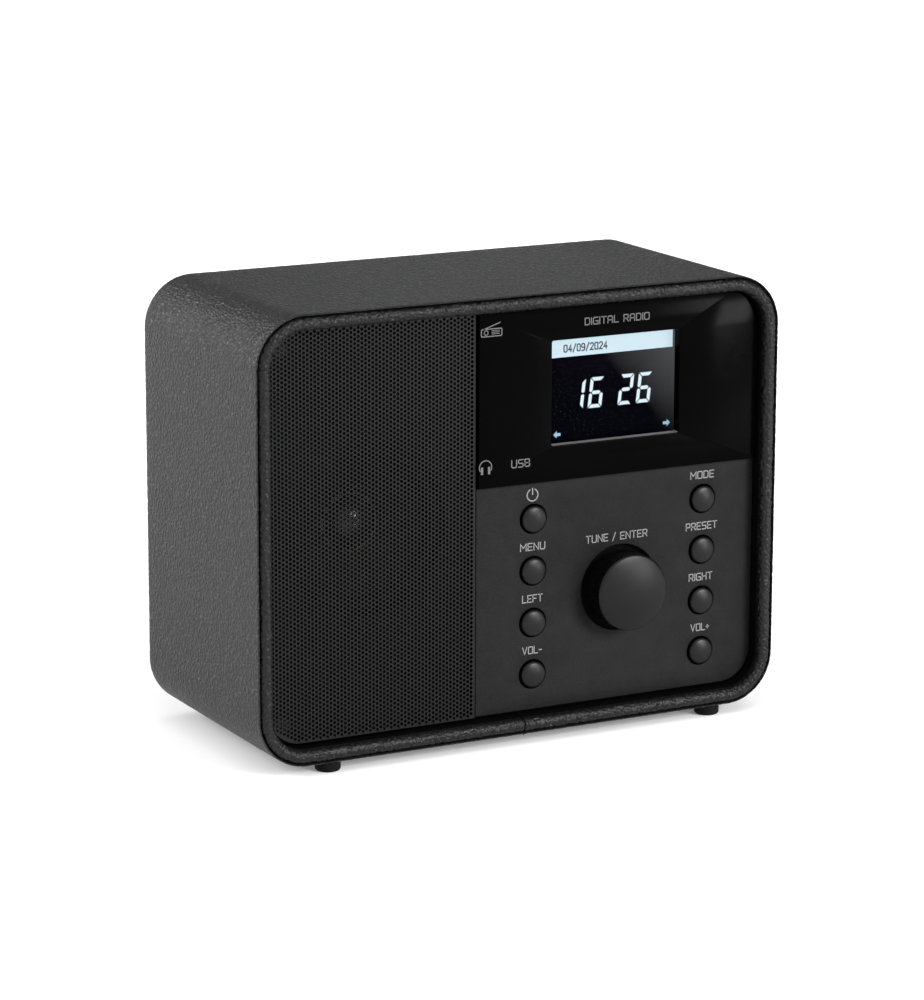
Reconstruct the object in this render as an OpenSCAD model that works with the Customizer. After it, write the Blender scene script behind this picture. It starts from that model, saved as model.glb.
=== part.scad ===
// Tabletop radio: leather-wrapped wooden cabinet, perforated grille, display, tune knob, buttons,
// full-range speaker, electronics and a telescopic aerial folded behind the rear panel.
// Frame: +X right, +Y back, +Z up; origin at the centre of the overall box, on the surface it stands on.

/* [Cabinet] */
// Cabinet width
cab_w = 200; // [196:1:206]
// Cabinet height without feet
cab_h = 153; // [151:1:158]
// Cabinet depth from front rim to back rim
cab_d = 93; // [90:1:100]
// Outer corner radius of the cabinet
corner_r = 17.8; // [15:0.1:20]
// Width of the rim seen from the front
rim_w = 5.5; // [5:0.1:6]
// Thickness of the leather cover
leather_t = 0.6; // [0.5:0.1:0.8]
// Height of the rubber feet
foot_h = 4; // [3.5:0.5:7]
// Radius of each foot
foot_r = 4.4; // [4:0.1:6]

/* [Front panels] */
// Depth of the gloss display panel behind the rim
gloss_d = 4.6; // [4:0.1:5]
// Depth of the matte control panel behind the rim
matte_d = 6.6; // [6:0.1:7]
// Depth of the speaker grille behind the rim
grille_d = 6; // [5:0.1:6.5]
// Height of the joint between gloss and matte panel above the cabinet's underside
split_z = 87.1; // [86:0.1:89]
// Right edge of the speaker grille
grille_right = -16.6; // [-18:0.1:-16.4]
// Left edge of the gloss and matte panels
panel_left = -16; // [-16.1:0.1:-15]

/* [Controls] */
// Left and right button columns
button_columns = [6.2, 73.6];
// Lowest button row above the cabinet's underside
button_low_z = 19.3; // [18:0.1:20]
// Distance between button rows
button_pitch = 18.3; // [17:0.1:18.4]
// Radius of a button cap
button_r = 4.7; // [4.2:0.1:4.9]
// Radius of a button hole
button_hole_r = 5.2; // [5.1:0.1:5.6]
// How far a button stands out of the panel
button_proud = 2; // [1:0.1:2.2]
// Button travel
button_travel = 0.6; // [0.3:0.1:0.6]
// Knob centre, X and height above the cabinet's underside
knob_pos = [40.5, 46.3];
// Knob radius
knob_r = 13.5; // [12:0.1:14]
// Knob length from its back to its face
knob_len = 10.4; // [9:0.1:11]
// Knob push travel
knob_travel = 0.5; // [0.3:0.1:0.6]

/* [Display] */
// Centre of the display opening, X and height above the cabinet's underside
display_pos = [37.1, 117.5];
// Width of the display opening
display_w = 50.3; // [48:0.1:51]
// Height of the display opening
display_h = 36.3; // [34:0.1:37]

/* [Speaker] */
// Speaker centre, X and height above the cabinet's underside
speaker_pos = [-56, 76.5];
// Speaker frame radius
speaker_r = 35; // [34:0.5:36]

/* [Aerial] */
// Aerial pivot, X and height above the cabinet's underside
aerial_pos = [77, 129];
// Length of the thickest aerial tube
aerial_len = 132; // [110:1:140]
// Outer radii of the telescoping sections, thickest first
aerial_radii = [3, 2.55, 2.1, 1.65, 1.2];
// Travel of each telescoping section
aerial_travel = 112; // [60:1:112]

/* [Hidden] */
$fn = 48;

touch = 0.01;              // tiny overlap that keeps joined shapes one solid
fit_gap = 0.05;            // radial clearance of a running fit
slip = 0.1;                // clearance between parts that sit in each other
aerial_rod_gap = 0.5;      // air between the back rim and the folded aerial
swivel_r = 6.5;
aerial_axis_d = cab_d + aerial_rod_gap + aerial_radii[0];
swivel_back_d = aerial_axis_d + 4;
knob_back_d = matte_d - 0.8;
knob_face_d = knob_back_d - knob_len;
front_y = -(swivel_back_d + knob_face_d) / 2;    // the rim's Y, which centres the overall box

inner_w = cab_w - 2 * rim_w;
inner_h = cab_h - 2 * rim_w;
inner_r = corner_r - rim_w;
mid_z = foot_h + cab_h / 2;

rim_groove = 0.9;                       // dark crease between the outer cover and the front bead
bead_r = (rim_w - rim_groove) / 2;      // half-round bead along the front rim
bead_back_d = bead_r + 1.2;
tuck_t = 0.5;                           // leather turned into the opening
tuck_back_d = 9.4;
back_rim_t = 1.6;
shell_in = rim_w - tuck_t;              // inset of the wooden wall's inner face

front_gap = 0.3;                        // gap at the top and sides of the front panels
front_gap_low = 1.3;                    // gap under the front panels
panel_w = inner_w - 2 * front_gap;
panel_h = inner_h - front_gap - front_gap_low;
panel_mid_z = mid_z + (front_gap_low - front_gap) / 2;
panel_r = inner_r - front_gap;
panel_t = 3;
chassis_d = matte_d + panel_t;          // front face of the chassis plate
chassis_t = 3;
chassis_back_d = chassis_d + chassis_t;
screen_d = gloss_d + 3.4;               // depth of the lens front at the bottom of the display pocket
lens_t = 0.8;
lens_margin = 2.6;
lcd_t = 2;
lcd_margin = 3;
holder_front_d = screen_d + lens_t + 2 * slip;
holder_back_d = holder_front_d + 5.4;
ribbon_z = 99;

board_d = 20;                           // front face of the control board
board_t = 1.6;
knob_hole_r = knob_r + 1.7;
cap_edge_r = 1.2;                       // rounding of the edge of the knob and of the buttons
button_dome_r = 12;
knob_dome_r = 50;
knob_recess = 2.2;                      // depth of the ring-shaped recess round the knob
flange_r = 5.9;                         // button flange that keeps the cap in
flange_d = chassis_d + 0.2;
flange_t = 0.9;
switch_top_d = 15.4;                    // top of a pressed switch plunger
stem_end_d = switch_top_d - button_travel - slip;
chassis_button_r = 6.4;
button_rows = [for (i = [3:-1:0]) button_low_z + i * button_pitch];

shaft_r = 3;
bushing_r = 3.5;
encoder_front_d = 13.5;
encoder_half = 6.2;
rotor_d = 15;
rotor_t = 2;
shaft_end_d = board_d - 1 - knob_travel - slip;

rear_d = 86;                            // front face of the rear panel
rear_t = 3;
rear_out_d = rear_d + rear_t;
block_size = 15;
corner_screw = 7;                       // screws sit this far inside the opening's edges
middle_screw_x = -20;

basket_d = chassis_back_d + 0.8;        // front face of the speaker flange
cone_edge_r = 24;
cone_gap = 0.3;                         // air between the moving cone parts and the fixed ones
roll_r = 2.4;                           // half-roll of the surround
roll_t = 0.6;
flange_in_r = cone_edge_r + cone_gap + 2 * roll_r;
former_r = 9.8;
former_t = 0.4;
magnet_r = 25;
basket_t = 1.2;                         // sheet of the speaker's frame
speaker_head_r = 2.4;
speaker_head_t = 1.4;

main_z = 22;                            // underside of the main board
main_x = [-8, 78];
main_d = [44, 84];
main_t = 1.6;
main_top = main_z + main_t;
post_x = [-4.5, 73];
post_d = [48, 79];

foot_x = [-72, 77];
foot_d = [7, cab_d - 7];
screw_r = 1.5;
screw_head_r = 2.8;

/* Places */

// Y of a point that lies d behind the front rim
function y_at(d) = front_y + d;
// Height above the surface of a point measured from the cabinet's underside
function z_at(z) = foot_h + z;

// Extrudes a shape drawn in X and Z from depth d0 to depth d1
module slab(d0, d1) {
    translate([0, y_at(d1), 0]) rotate([90, 0, 0]) linear_extrude(d1 - d0) children();
}

// Round bar along the depth at X and Z
module bar(pos, d0, d1, r, sides = 48) {
    translate([pos[0], y_at(d1), pos[1]]) rotate([90, 0, 0]) cylinder(h = d1 - d0, r = r, $fn = sides);
}

// Turned shape: a profile drawn as radius and depth, spun about the axis along the depth at X and Z
module turned(pos) {
    translate([pos[0], front_y, pos[1]]) rotate([-90, 0, 0]) rotate_extrude($fn = 64) children();
}

// Rectangle with round corners, centred
module rounded_rect(w, h, r) {
    square([w - 2 * r, h], center = true);
    square([w, h - 2 * r], center = true);
    for (sx = [-1, 1], sz = [-1, 1]) {
        translate([sx * (w / 2 - r), sz * (h / 2 - r)]) circle(r = r, $fn = 96);
    }
}

// Sweeps a profile (inset from the cabinet's outside, depth) round the cabinet's outline
module cabinet_ring() {
    translate([0, front_y, mid_z]) rotate([90, 0, 0]) {
        for (side = [0:3]) {
            run = (side % 2 == 0) ? cab_w - 2 * corner_r : cab_h - 2 * corner_r;
            reach = (side % 2 == 0) ? cab_h / 2 - corner_r : cab_w / 2 - corner_r;
            rotate(90 * side) translate([0, reach, 0]) {
                translate([-run / 2, 0, 0]) rotate([90, 0, 90]) linear_extrude(run)
                    translate([corner_r, 0]) mirror([1, 0]) mirror([0, 1]) children();
                translate([run / 2, 0, 0]) rotate_extrude(angle = 90, $fn = 96)
                    translate([corner_r, 0]) mirror([1, 0]) mirror([0, 1]) children();
            }
        }
    }
}

// Pan-head screw along the depth, head towards the front at depth d
module screw_back(pos, d, len, r = screw_r, head_r = screw_head_r) {
    bar(pos, d, d + 1.6, head_r);
    bar(pos, d + 1.6 - touch, d + len, r, 24);
}

// Pan-head screw along the depth, head towards the back, its head's underside at depth d
module screw_front(pos, d, len, r = screw_r, head_r = screw_head_r) {
    difference() {
        bar(pos, d, d + 1.6, head_r);
        cross_slot(pos, d + 1.6);
    }
    bar(pos, d - len, d + touch, r, 24);
}

// Cross-shaped driver recess that ends at depth d
module cross_slot(pos, d) {
    for (a = [0, 90]) {
        translate([pos[0], y_at(d) - 0.4, pos[1]]) rotate([0, a, 0]) cube([3.2, 1, 0.7], center = true);
    }
}

// Round wire through a list of points
module wire(points, r) {
    for (i = [0:len(points) - 2]) {
        step = points[i + 1] - points[i];
        turn = atan2(step[1], step[0]);
        tilt = acos(step[2] / norm(step));
        translate(points[i]) rotate([0, tilt, turn]) cylinder(h = norm(step), r = r, $fn = 16);
        if (i > 0) translate(points[i]) sphere(r = r + 0.1, $fn = 16);
    }
}

/* Cabinet */

module leather_profile() {
    translate([0, rim_groove]) square([leather_t, cab_d - rim_groove - back_rim_t]);
    translate([leather_t / 2, rim_groove]) circle(r = leather_t / 2, $fn = 24);
    difference() {
        union() {
            translate([rim_groove + bead_r, bead_r]) circle(r = bead_r, $fn = 48);
            translate([leather_t - touch, bead_r])
                square([rim_w - leather_t + touch, bead_back_d - bead_r]);
        }
        wood_nose();
    }
    translate([rim_w - tuck_t, bead_r]) square([tuck_t, tuck_back_d - bead_r]);
    translate([back_rim_t, cab_d - back_rim_t]) intersection() {
        difference() {
            circle(r = back_rim_t, $fn = 48);
            circle(r = back_rim_t - leather_t, $fn = 48);
        }
        translate([-back_rim_t, 0]) square(back_rim_t + touch);
    }
    translate([back_rim_t, cab_d - leather_t]) square([rim_w - back_rim_t, leather_t]);
}

// Half-round front edge of the wooden wall, under the bead
module wood_nose() {
    nose_r = bead_r - tuck_t;
    translate([rim_groove + bead_r, bead_r]) circle(r = nose_r, $fn = 48);
    translate([rim_groove + bead_r - nose_r, bead_r]) square([2 * nose_r, bead_back_d - bead_r + touch]);
}

module foot_screw_holes() {
    for (x = foot_x, d = foot_d) {
        translate([x, y_at(d), foot_h - 1]) cylinder(h = rim_w + 2, r = screw_r + fit_gap, $fn = 24);
    }
}

module leather_cover() {
    color([0.1, 0.1, 0.1]) difference() {
        cabinet_ring() leather_profile();
        foot_screw_holes();
    }
}

module cabinet_shell() {
    color("burlywood") difference() {
        cabinet_ring() difference() {
            union() {
                translate([leather_t, bead_back_d])
                    square([shell_in - leather_t, cab_d - leather_t - bead_back_d]);
                wood_nose();
            }
            difference() {
                translate([0, cab_d - back_rim_t]) square(back_rim_t);
                translate([back_rim_t, cab_d - back_rim_t]) circle(r = back_rim_t - leather_t, $fn = 48);
            }
        }
        foot_screw_holes();
    }
}

// Blocks glued inside the cabinet, which hold the chassis and the rear panel
module fixing_blocks() {
    color("tan") difference() {
        intersection() {
            slab(chassis_back_d, rear_d) translate([0, mid_z])
                rounded_rect(cab_w - 2 * shell_in - slip, cab_h - 2 * shell_in - slip, corner_r - shell_in);
            slab(chassis_back_d, rear_d) for (sx = [-1, 1], sz = [-1, 1]) {
                translate([sx * (inner_w / 2 - block_size / 2 + 1), 0])
                    translate([0, mid_z + sz * (inner_h / 2 - block_size / 2 + 1)])
                        square(block_size, center = true);
            }
        }
        for (p = corner_points()) {
            bar(p, chassis_back_d - 1, chassis_back_d + 11, screw_r + fit_gap, 24);
            bar(p, rear_d - 13, rear_d + 1, screw_r + fit_gap, 24);
        }
    }
    color("tan") for (sz = [-1, 1]) difference() {
        slab(rear_d - 16, rear_d)
            translate([middle_screw_x, mid_z + sz * (inner_h / 2 - block_size / 2 + 0.4)])
                square(block_size, center = true);
        bar([middle_screw_x, mid_z + sz * (inner_h / 2 - corner_screw)], rear_d - 13, rear_d + 1,
            screw_r + fit_gap, 24);
    }
}

function corner_points() = [for (sx = [-1, 1], sz = [-1, 1])
    [sx * (inner_w / 2 - corner_screw), mid_z + sz * (inner_h / 2 - corner_screw)]];

module rubber_feet() {
    color([0.08, 0.08, 0.08]) for (x = foot_x, d = foot_d) {
        translate([x, y_at(d), 0]) difference() {
            rotate_extrude($fn = 64) intersection() {
                square([foot_r, foot_h]);
                union() {
                    translate([0, 1]) square([foot_r, foot_h]);
                    translate([0, 0]) square([foot_r - 1, foot_h]);
                    translate([foot_r - 1, 1]) circle(r = 1, $fn = 32);
                }
            }
            translate([0, 0, -1]) cylinder(h = foot_h + 2, r = screw_r + fit_gap, $fn = 24);
            translate([0, 0, -1]) cylinder(h = 3, r = screw_head_r, $fn = 32);
        }
    }
}

module foot_screws() {
    color("silver") for (x = foot_x, d = foot_d) {
        translate([x, y_at(d), 2 - touch]) cylinder(h = foot_h + rim_w - 3, r = screw_r, $fn = 24);
        translate([x, y_at(d), 0.7]) cylinder(h = 1.3, r = screw_head_r - fit_gap, $fn = 32);
    }
}

/* Front */

module opening_outline() {
    translate([0, panel_mid_z]) rounded_rect(panel_w, panel_h, panel_r);
}

module front_chassis() {
    color([0.07, 0.07, 0.07]) difference() {
        union() {
            slab(chassis_d, chassis_back_d) opening_outline();
            for (p = control_post_points()) bar(p, chassis_back_d - touch, board_d, 3);
        }
        bar([speaker_pos[0], z_at(speaker_pos[1])], chassis_d - 1, chassis_back_d + 1, flange_in_r + 0.4);
        for (p = speaker_screw_points()) bar(p, chassis_d + 1, chassis_back_d + 1, screw_r, 24);
        for (x = button_columns, z = button_rows) {
            bar([x, z_at(z)], chassis_d - 1, chassis_back_d + 1, chassis_button_r);
        }
        bar([knob_pos[0], z_at(knob_pos[1])], chassis_d - 1, chassis_back_d + 1, bushing_r + slip);
        slab(chassis_d - 1, chassis_back_d + 1) translate([display_pos[0], z_at(display_pos[1])])
            square([display_w + 2 * lcd_margin + 2, display_h + 2 * lcd_margin + 2], center = true);
        for (p = corner_points()) bar(p, chassis_d - 1, chassis_back_d + 1, screw_r + fit_gap, 24);
        for (p = corner_points()) bar(p, chassis_d - 1, chassis_d + 1.7, screw_head_r + slip);
        for (p = control_post_points()) bar(p, board_d - 6, board_d + 1, screw_r, 24);
    }
}

module chassis_screws() {
    color("silver") for (p = corner_points()) screw_back(p, chassis_d + slip, 12);
}

// Sheet-metal grille: a flat face with its edges folded back to the chassis
module speaker_grille() {
    color([0.12, 0.12, 0.12]) difference() {
        slab(grille_d, chassis_d) intersection() {
            opening_outline();
            translate([-cab_w / 2, 0]) square([cab_w / 2 + grille_right, 2 * cab_h]);
        }
        slab(grille_d + 0.8, chassis_d + 1) intersection() {
            translate([0, panel_mid_z]) rounded_rect(panel_w - 1.6, panel_h - 1.6, panel_r - 0.8);
            translate([-cab_w / 2, 0]) square([cab_w / 2 + grille_right - 0.8, 2 * cab_h]);
        }
    }
}

// Gloss panel with its display pocket
module display_panel() {
    pocket = [display_w + 2 * lens_margin + slip, display_h + 2 * lens_margin + slip];
    color([0.02, 0.02, 0.02]) difference() {
        union() {
            slab(gloss_d, gloss_d + 2.5) gloss_outline(0);
            slab(gloss_d + 2.5 - touch, chassis_d) difference() {
                gloss_outline(0);
                gloss_outline(1.5);
            }
            slab(gloss_d + 2.5 - touch, chassis_d) display_square(pocket + [2.4, 2.4]);
        }
        slab(gloss_d - 1, chassis_d + 1) display_square([display_w, display_h]);
        slab(screen_d, chassis_d + 1) display_square(pocket);
        for (p = corner_points()) bar(p, gloss_d + 2.5, chassis_d + 1, screw_head_r + 1);
    }
}

module gloss_outline(inset) {
    intersection() {
        translate([0, panel_mid_z]) rounded_rect(panel_w - 2 * inset, panel_h - 2 * inset, panel_r - inset);
        translate([panel_left + inset, z_at(split_z) + inset]) square([cab_w, cab_h]);
    }
}

module display_square(size) {
    translate([display_pos[0], z_at(display_pos[1])]) square(size, center = true);
}

module display_lens() {
    color([0.6, 0.7, 0.8, 0.3]) slab(screen_d, screen_d + lens_t)
        display_square([display_w + 2 * lens_margin, display_h + 2 * lens_margin]);
}

module lcd_panel() {
    color([0.05, 0.06, 0.1]) slab(screen_d + lens_t + slip, screen_d + lens_t + slip + lcd_t)
        display_square([display_w + 2 * lens_margin, display_h + 2 * lens_margin]);
}

// Tray that carries the screen and its backlight, on four legs to the control board
module lcd_holder() {
    size = [display_w + 2 * lcd_margin + 1.6, display_h + 2 * lcd_margin + 1.6];
    color("white") {
        difference() {
            slab(chassis_d + slip, holder_back_d) display_square(size);
            slab(chassis_d, holder_front_d + lcd_t)
                display_square([display_w + 2 * lcd_margin, display_h + 2 * lcd_margin]);
        }
        for (sx = [-1, 1], sz = [-1, 1]) {
            bar([display_pos[0] + sx * 24, z_at(display_pos[1]) + sz * 16],
                holder_back_d - touch, board_d, 1.8);
        }
    }
}

module control_panel() {
    color([0.2, 0.2, 0.2]) difference() {
        slab(matte_d, chassis_d) intersection() {
            opening_outline();
            translate([panel_left, 0]) square([cab_w, z_at(split_z) - 0.2]);
        }
        for (x = button_columns, z = button_rows) {
            bar([x, z_at(z)], matte_d - 1, chassis_d + 1, button_hole_r);
        }
        bar([knob_pos[0], z_at(knob_pos[1])], matte_d - 1, matte_d + knob_recess, knob_hole_r);
        bar([knob_pos[0], z_at(knob_pos[1])], matte_d, chassis_d + 1, 7.5);
        for (p = corner_points()) bar(p, chassis_d - 1, chassis_d + 1, screw_head_r + slip);
    }
}

/* Buttons and knob */

// Half section of a turned cap from its domed front to a flat back, with a rounded edge
module domed_profile(r, front_d, back_d, dome_r) {
    edge_d = front_d + dome_r - sqrt(pow(dome_r - cap_edge_r, 2) - pow(r - cap_edge_r, 2));
    intersection() {
        translate([0, front_d]) square([r, back_d - front_d]);
        union() {
            translate([0, front_d + dome_r]) circle(r = dome_r, $fn = 720);
            translate([0, edge_d]) square([r, back_d - edge_d]);
        }
        union() {
            translate([0, front_d]) square([r - cap_edge_r, back_d - front_d]);
            translate([0, edge_d]) square([r, back_d - edge_d]);
            translate([r - cap_edge_r, edge_d]) circle(r = cap_edge_r, $fn = 96);
        }
    }
}

// Push button: domed cap, retaining flange and stem
module button(column, row) {
    top_d = matte_d - button_proud;
    color([0.16, 0.16, 0.16]) turned([button_columns[column], z_at(button_rows[row])]) {
        domed_profile(button_r, top_d, flange_d + touch, button_dome_r);
        translate([0, flange_d]) square([flange_r, flange_t]);
        translate([0, flange_d + flange_t - touch]) square([1.9, stem_end_d - flange_d - flange_t + touch]);
    }
}

// Tune knob: hollow cap with a hub pressed on the encoder shaft
module tune_knob() {
    color([0.15, 0.15, 0.15]) turned([knob_pos[0], z_at(knob_pos[1])]) difference() {
        domed_profile(knob_r, knob_face_d, knob_back_d, knob_dome_r);
        translate([5.5, knob_face_d + 3]) square([knob_r - 7.5, knob_len]);
        translate([-1, knob_face_d + 3]) square([1 + shaft_r, knob_len]);
    }
}

module encoder_shaft() {
    pos = [knob_pos[0], z_at(knob_pos[1])];
    color("silver") {
        bar(pos, knob_face_d + 3, rotor_d + 2.5, shaft_r);
        intersection() {
            bar(pos, rotor_d + 2.5 - touch, shaft_end_d, shaft_r - 1);
            bar(pos, rotor_d, board_d, shaft_r);
        }
    }
}

module encoder_rotor() {
    pos = [knob_pos[0], z_at(knob_pos[1])];
    color("ivory") difference() {
        bar(pos, rotor_d, rotor_d + rotor_t, 5);
        bar(pos, rotor_d - 1, rotor_d + rotor_t + 1, shaft_r + fit_gap);
    }
}

module encoder_body() {
    pos = [knob_pos[0], z_at(knob_pos[1])];
    color("gray") difference() {
        union() {
            slab(encoder_front_d, board_d) translate(pos) square(2 * encoder_half, center = true);
            bar(pos, chassis_d - 2.6, encoder_front_d + touch, bushing_r);
        }
        bar(pos, chassis_d - 3, board_d - 1, shaft_r + fit_gap);
        bar(pos, rotor_d - 0.3, board_d - 1, 5.3);
    }
}

module encoder_nut() {
    pos = [knob_pos[0], z_at(knob_pos[1])];
    color("silver") difference() {
        bar(pos, chassis_d - 2.1, chassis_d, 5.8, 6);
        bar(pos, chassis_d - 3, chassis_d + 1, bushing_r + fit_gap);
    }
}

/* Boards */

function control_post_points() = [[-9, z_at(20)], [-9, z_at(132)], [88, z_at(40)], [88, z_at(110)]];

module control_board() {
    color("darkgreen") difference() {
        slab(board_d, board_d + board_t) translate([39.5, z_at(76)]) square([104, 124], center = true);
        for (p = control_post_points()) bar(p, board_d - 1, board_d + board_t + 1, screw_r + fit_gap, 24);
        slab(board_d - 1, board_d + 3) {
            for (p = corner_points()) translate(p) square(2 * block_size, center = true);
            translate([display_pos[0], z_at(ribbon_z)]) square([15, 1.2], center = true);
        }
    }
}

module tact_switches() {
    color("dimgray") for (x = button_columns, z = button_rows) {
        slab(board_d - 3.5, board_d) translate([x, z_at(z)]) square(6, center = true);
        bar([x, z_at(z)], switch_top_d, board_d - 3.5 + touch, 1.75);
    }
}

// Flat cable from the back of the screen's tray, through a slot in the board, to a plug behind it
module display_ribbon() {
    pos = [display_pos[0], z_at(ribbon_z)];
    plug_d = board_d + board_t;
    color("orange") {
        slab(holder_back_d, plug_d + touch) translate(pos) square([14, 0.4], center = true);
        slab(plug_d, plug_d + 2) translate(pos) square([18, 5], center = true);
    }
}

// Flat cable from the control board down and back to the main board
module control_ribbon() {
    x0 = 20;
    w = 14;
    back = y_at(board_d + board_t);
    color("lightgray") {
        translate([x0, back, z_at(24)]) cube([w, 3, 4]);
        translate([x0, back + 3 - touch, z_at(24)]) cube([w, 8, 0.6]);
        translate([x0, back + 10, main_top + 4]) cube([w, 0.6, z_at(24) - main_top - 4 + 0.6]);
        translate([x0, back + 10, main_top + 4]) cube([w, y_at(main_d[0]) + 2 - back - 10, 0.6]);
        translate([x0, y_at(main_d[0]) + 2 - touch, main_top]) cube([w, 4, 5]);
    }
}

module main_board() {
    color("darkgreen") difference() {
        translate([main_x[0], y_at(main_d[0]), main_z])
            cube([main_x[1] - main_x[0], main_d[1] - main_d[0], main_t]);
        for (x = post_x, d = post_d) {
            translate([x, y_at(d), main_z - 1]) cylinder(h = 4, r = screw_r, $fn = 24);
        }
    }
}

// Posts between the cabinet floor and the main board
module board_posts() {
    floor_z = foot_h + shell_in;
    color("ivory") for (x = post_x, d = post_d) {
        translate([x, y_at(d), floor_z]) difference() {
            cylinder(h = main_z - floor_z, r = 3.2);
            translate([0, 0, main_z - floor_z - 7]) cylinder(h = 8, r = screw_r, $fn = 24);
        }
    }
}

module board_screws() {
    color("silver") {
        for (x = post_x, d = post_d) translate([x, y_at(d), main_top]) {
            cylinder(h = 1.6, r = screw_head_r);
            translate([0, 0, -6]) cylinder(h = 6 + touch, r = screw_r - fit_gap, $fn = 24);
        }
        for (p = control_post_points()) {
            bar(p, board_d + board_t, board_d + board_t + 1.6, screw_head_r);
            bar(p, board_d - 4, board_d + board_t + touch, screw_r - fit_gap, 24);
        }
    }
}

// Screened tuner: a metal can on its own small board
module tuner_module() {
    color("silver") translate([38, y_at(50), main_top]) {
        cube([30, 24, 1]);
        translate([1, 1, 1 - touch]) cube([28, 22, 3]);
        translate([20, 16, 4 - 2 * touch]) cylinder(h = 2.5, r = 1.6);
    }
}

module board_capacitors() {
    spots = [[4, 60], [12, 60], [4, 68], [12, 68], [12, 51]];
    color([0.1, 0.15, 0.3]) for (s = spots) {
        translate([s[0], y_at(s[1]), main_top]) cylinder(h = 11, r = 3.15);
    }
}

module amplifier_chip() {
    color([0.08, 0.08, 0.08]) translate([22, y_at(58), main_top]) {
        cube([9, 9, 1.2]);
        for (i = [0:6]) translate([0.6 + i * 1.2, 1, 1.2 - touch]) cube([0.6, 7, 5]);
    }
}

/* Sockets */

dc_pos = [5, main_top + 5.5];
usb_pos = [20, main_top + 3.3];
jack_pos = [40, main_top + 4];
usb_size = [13.2, 5.8];

module dc_inlet() {
    color([0.06, 0.06, 0.06]) {
        difference() {
            slab(73, rear_d) translate(dc_pos) square([9, 11], center = true);
            bar(dc_pos, 79, rear_d + 1, 3.1);
        }
        bar(dc_pos, 79 - touch, 85, 1);
    }
}

module usb_port() {
    color("silver") {
        difference() {
            slab(74, rear_out_d) translate(usb_pos) square(usb_size + [0.8, 0.8], center = true);
            slab(76, rear_out_d + 1) translate(usb_pos) square(usb_size - [0.6, 0.6], center = true);
        }
        translate([usb_pos[0] - 5.6, y_at(75), usb_pos[1] + 0.4]) cube([11.2, 9.2, 1.8]);
    }
}

module headphone_jack() {
    color([0.06, 0.06, 0.06]) difference() {
        union() {
            slab(75, rear_d - slip) translate([jack_pos[0], jack_pos[1] - 0.3])
                square([8, 7.4], center = true);
            bar(jack_pos, rear_d - 1, rear_out_d, 3);
        }
        bar(jack_pos, 76.5, rear_out_d + 1, 1.8);
    }
}

/* Speaker */

speaker_at = [speaker_pos[0], z_at(speaker_pos[1])];

function speaker_screw_points() = [for (a = [45:90:315])
    speaker_at + (speaker_r - 2.6) * [cos(a), sin(a)]];

module speaker_gasket() {
    color([0.1, 0.1, 0.1]) difference() {
        bar(speaker_at, chassis_back_d, basket_d, speaker_r);
        bar(speaker_at, chassis_back_d - 1, basket_d + 1, flange_in_r + 0.4);
        for (p = speaker_screw_points()) bar(p, chassis_back_d - 1, basket_d + 1, screw_r + fit_gap, 24);
    }
}

// Pressed frame: flange, six arms and the ring that carries the magnet
module speaker_basket() {
    color([0.15, 0.15, 0.16]) difference() {
        turned(speaker_at) {
            translate([flange_in_r, basket_d]) square([speaker_r - flange_in_r, basket_t]);
            polygon([[flange_in_r + 1, basket_d], [flange_in_r + 2.5, basket_d],
                [24, basket_d + 15.5], [22.5, basket_d + 15.5]]);
            translate([14, basket_d + 14]) square([10, 1.5]);
        }
        for (a = [0:60:300]) translate([speaker_at[0], y_at(basket_d + 7.5), speaker_at[1]])
            rotate([0, a, 0]) translate([28, 0, 0]) cube([16, 9, 15], center = true);
        for (p = speaker_screw_points()) {
            bar(p, basket_d - 1, basket_d + 3, screw_r + fit_gap, 24);
            bar(p, basket_d + basket_t, basket_d + 3, speaker_head_r + 0.1);
        }
    }
}

// Half-roll edge between the cone and the frame
module speaker_surround() {
    color([0.05, 0.05, 0.05]) turned(speaker_at) {
        translate([flange_in_r - roll_r, basket_d + 0.6]) difference() {
            circle(r = roll_r, $fn = 48);
            circle(r = roll_r - roll_t, $fn = 48);
            translate([-5, 0]) square([10, 5]);
        }
        translate([cone_edge_r + cone_gap, basket_d + 0.6 - touch]) square([roll_t, 1]);
        translate([flange_in_r - roll_t, basket_d + 0.6 - touch]) square([roll_t, 1]);
    }
}

module speaker_cone() {
    color([0.12, 0.12, 0.12]) turned(speaker_at) polygon([
        [former_r + former_t, basket_d + 10.2], [cone_edge_r - 0.4, basket_d + 1.4],
        [cone_edge_r, basket_d + 1.4], [cone_edge_r, basket_d + 2],
        [former_r + former_t, basket_d + 10.9]]);
}

module dust_cap() {
    color([0.05, 0.05, 0.05]) turned(speaker_at) {
        translate([0, basket_d + 15]) intersection() {
            difference() {
                circle(r = 10.4, $fn = 96);
                circle(r = 9.8, $fn = 96);
            }
            translate([0, -11]) square([former_r - 0.1, 8.5]);
        }
    }
}

module voice_coil() {
    color("peru") turned(speaker_at) {
        translate([former_r, basket_d + 9]) square([former_t, 11]);
    }
}

module speaker_spider() {
    color("goldenrod") turned(speaker_at) {
        translate([former_r + former_t + cone_gap, basket_d + 13.3]) square([11.4, 0.4]);
        translate([18, basket_d + 13.3]) square([3, 0.7]);
    }
}

module top_plate() {
    color("silver") turned(speaker_at) translate([11, basket_d + 15.5]) square([11.5, 4]);
}

module speaker_magnet() {
    color([0.2, 0.2, 0.2]) turned(speaker_at)
        translate([13.5, basket_d + 19.5]) square([magnet_r - 13.5, 10]);
}

module pole_plate() {
    color("silver") turned(speaker_at) {
        translate([0, basket_d + 29.5]) square([22.5, 4]);
        translate([0, basket_d + 16]) square([9.2, 14]);
    }
}

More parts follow.
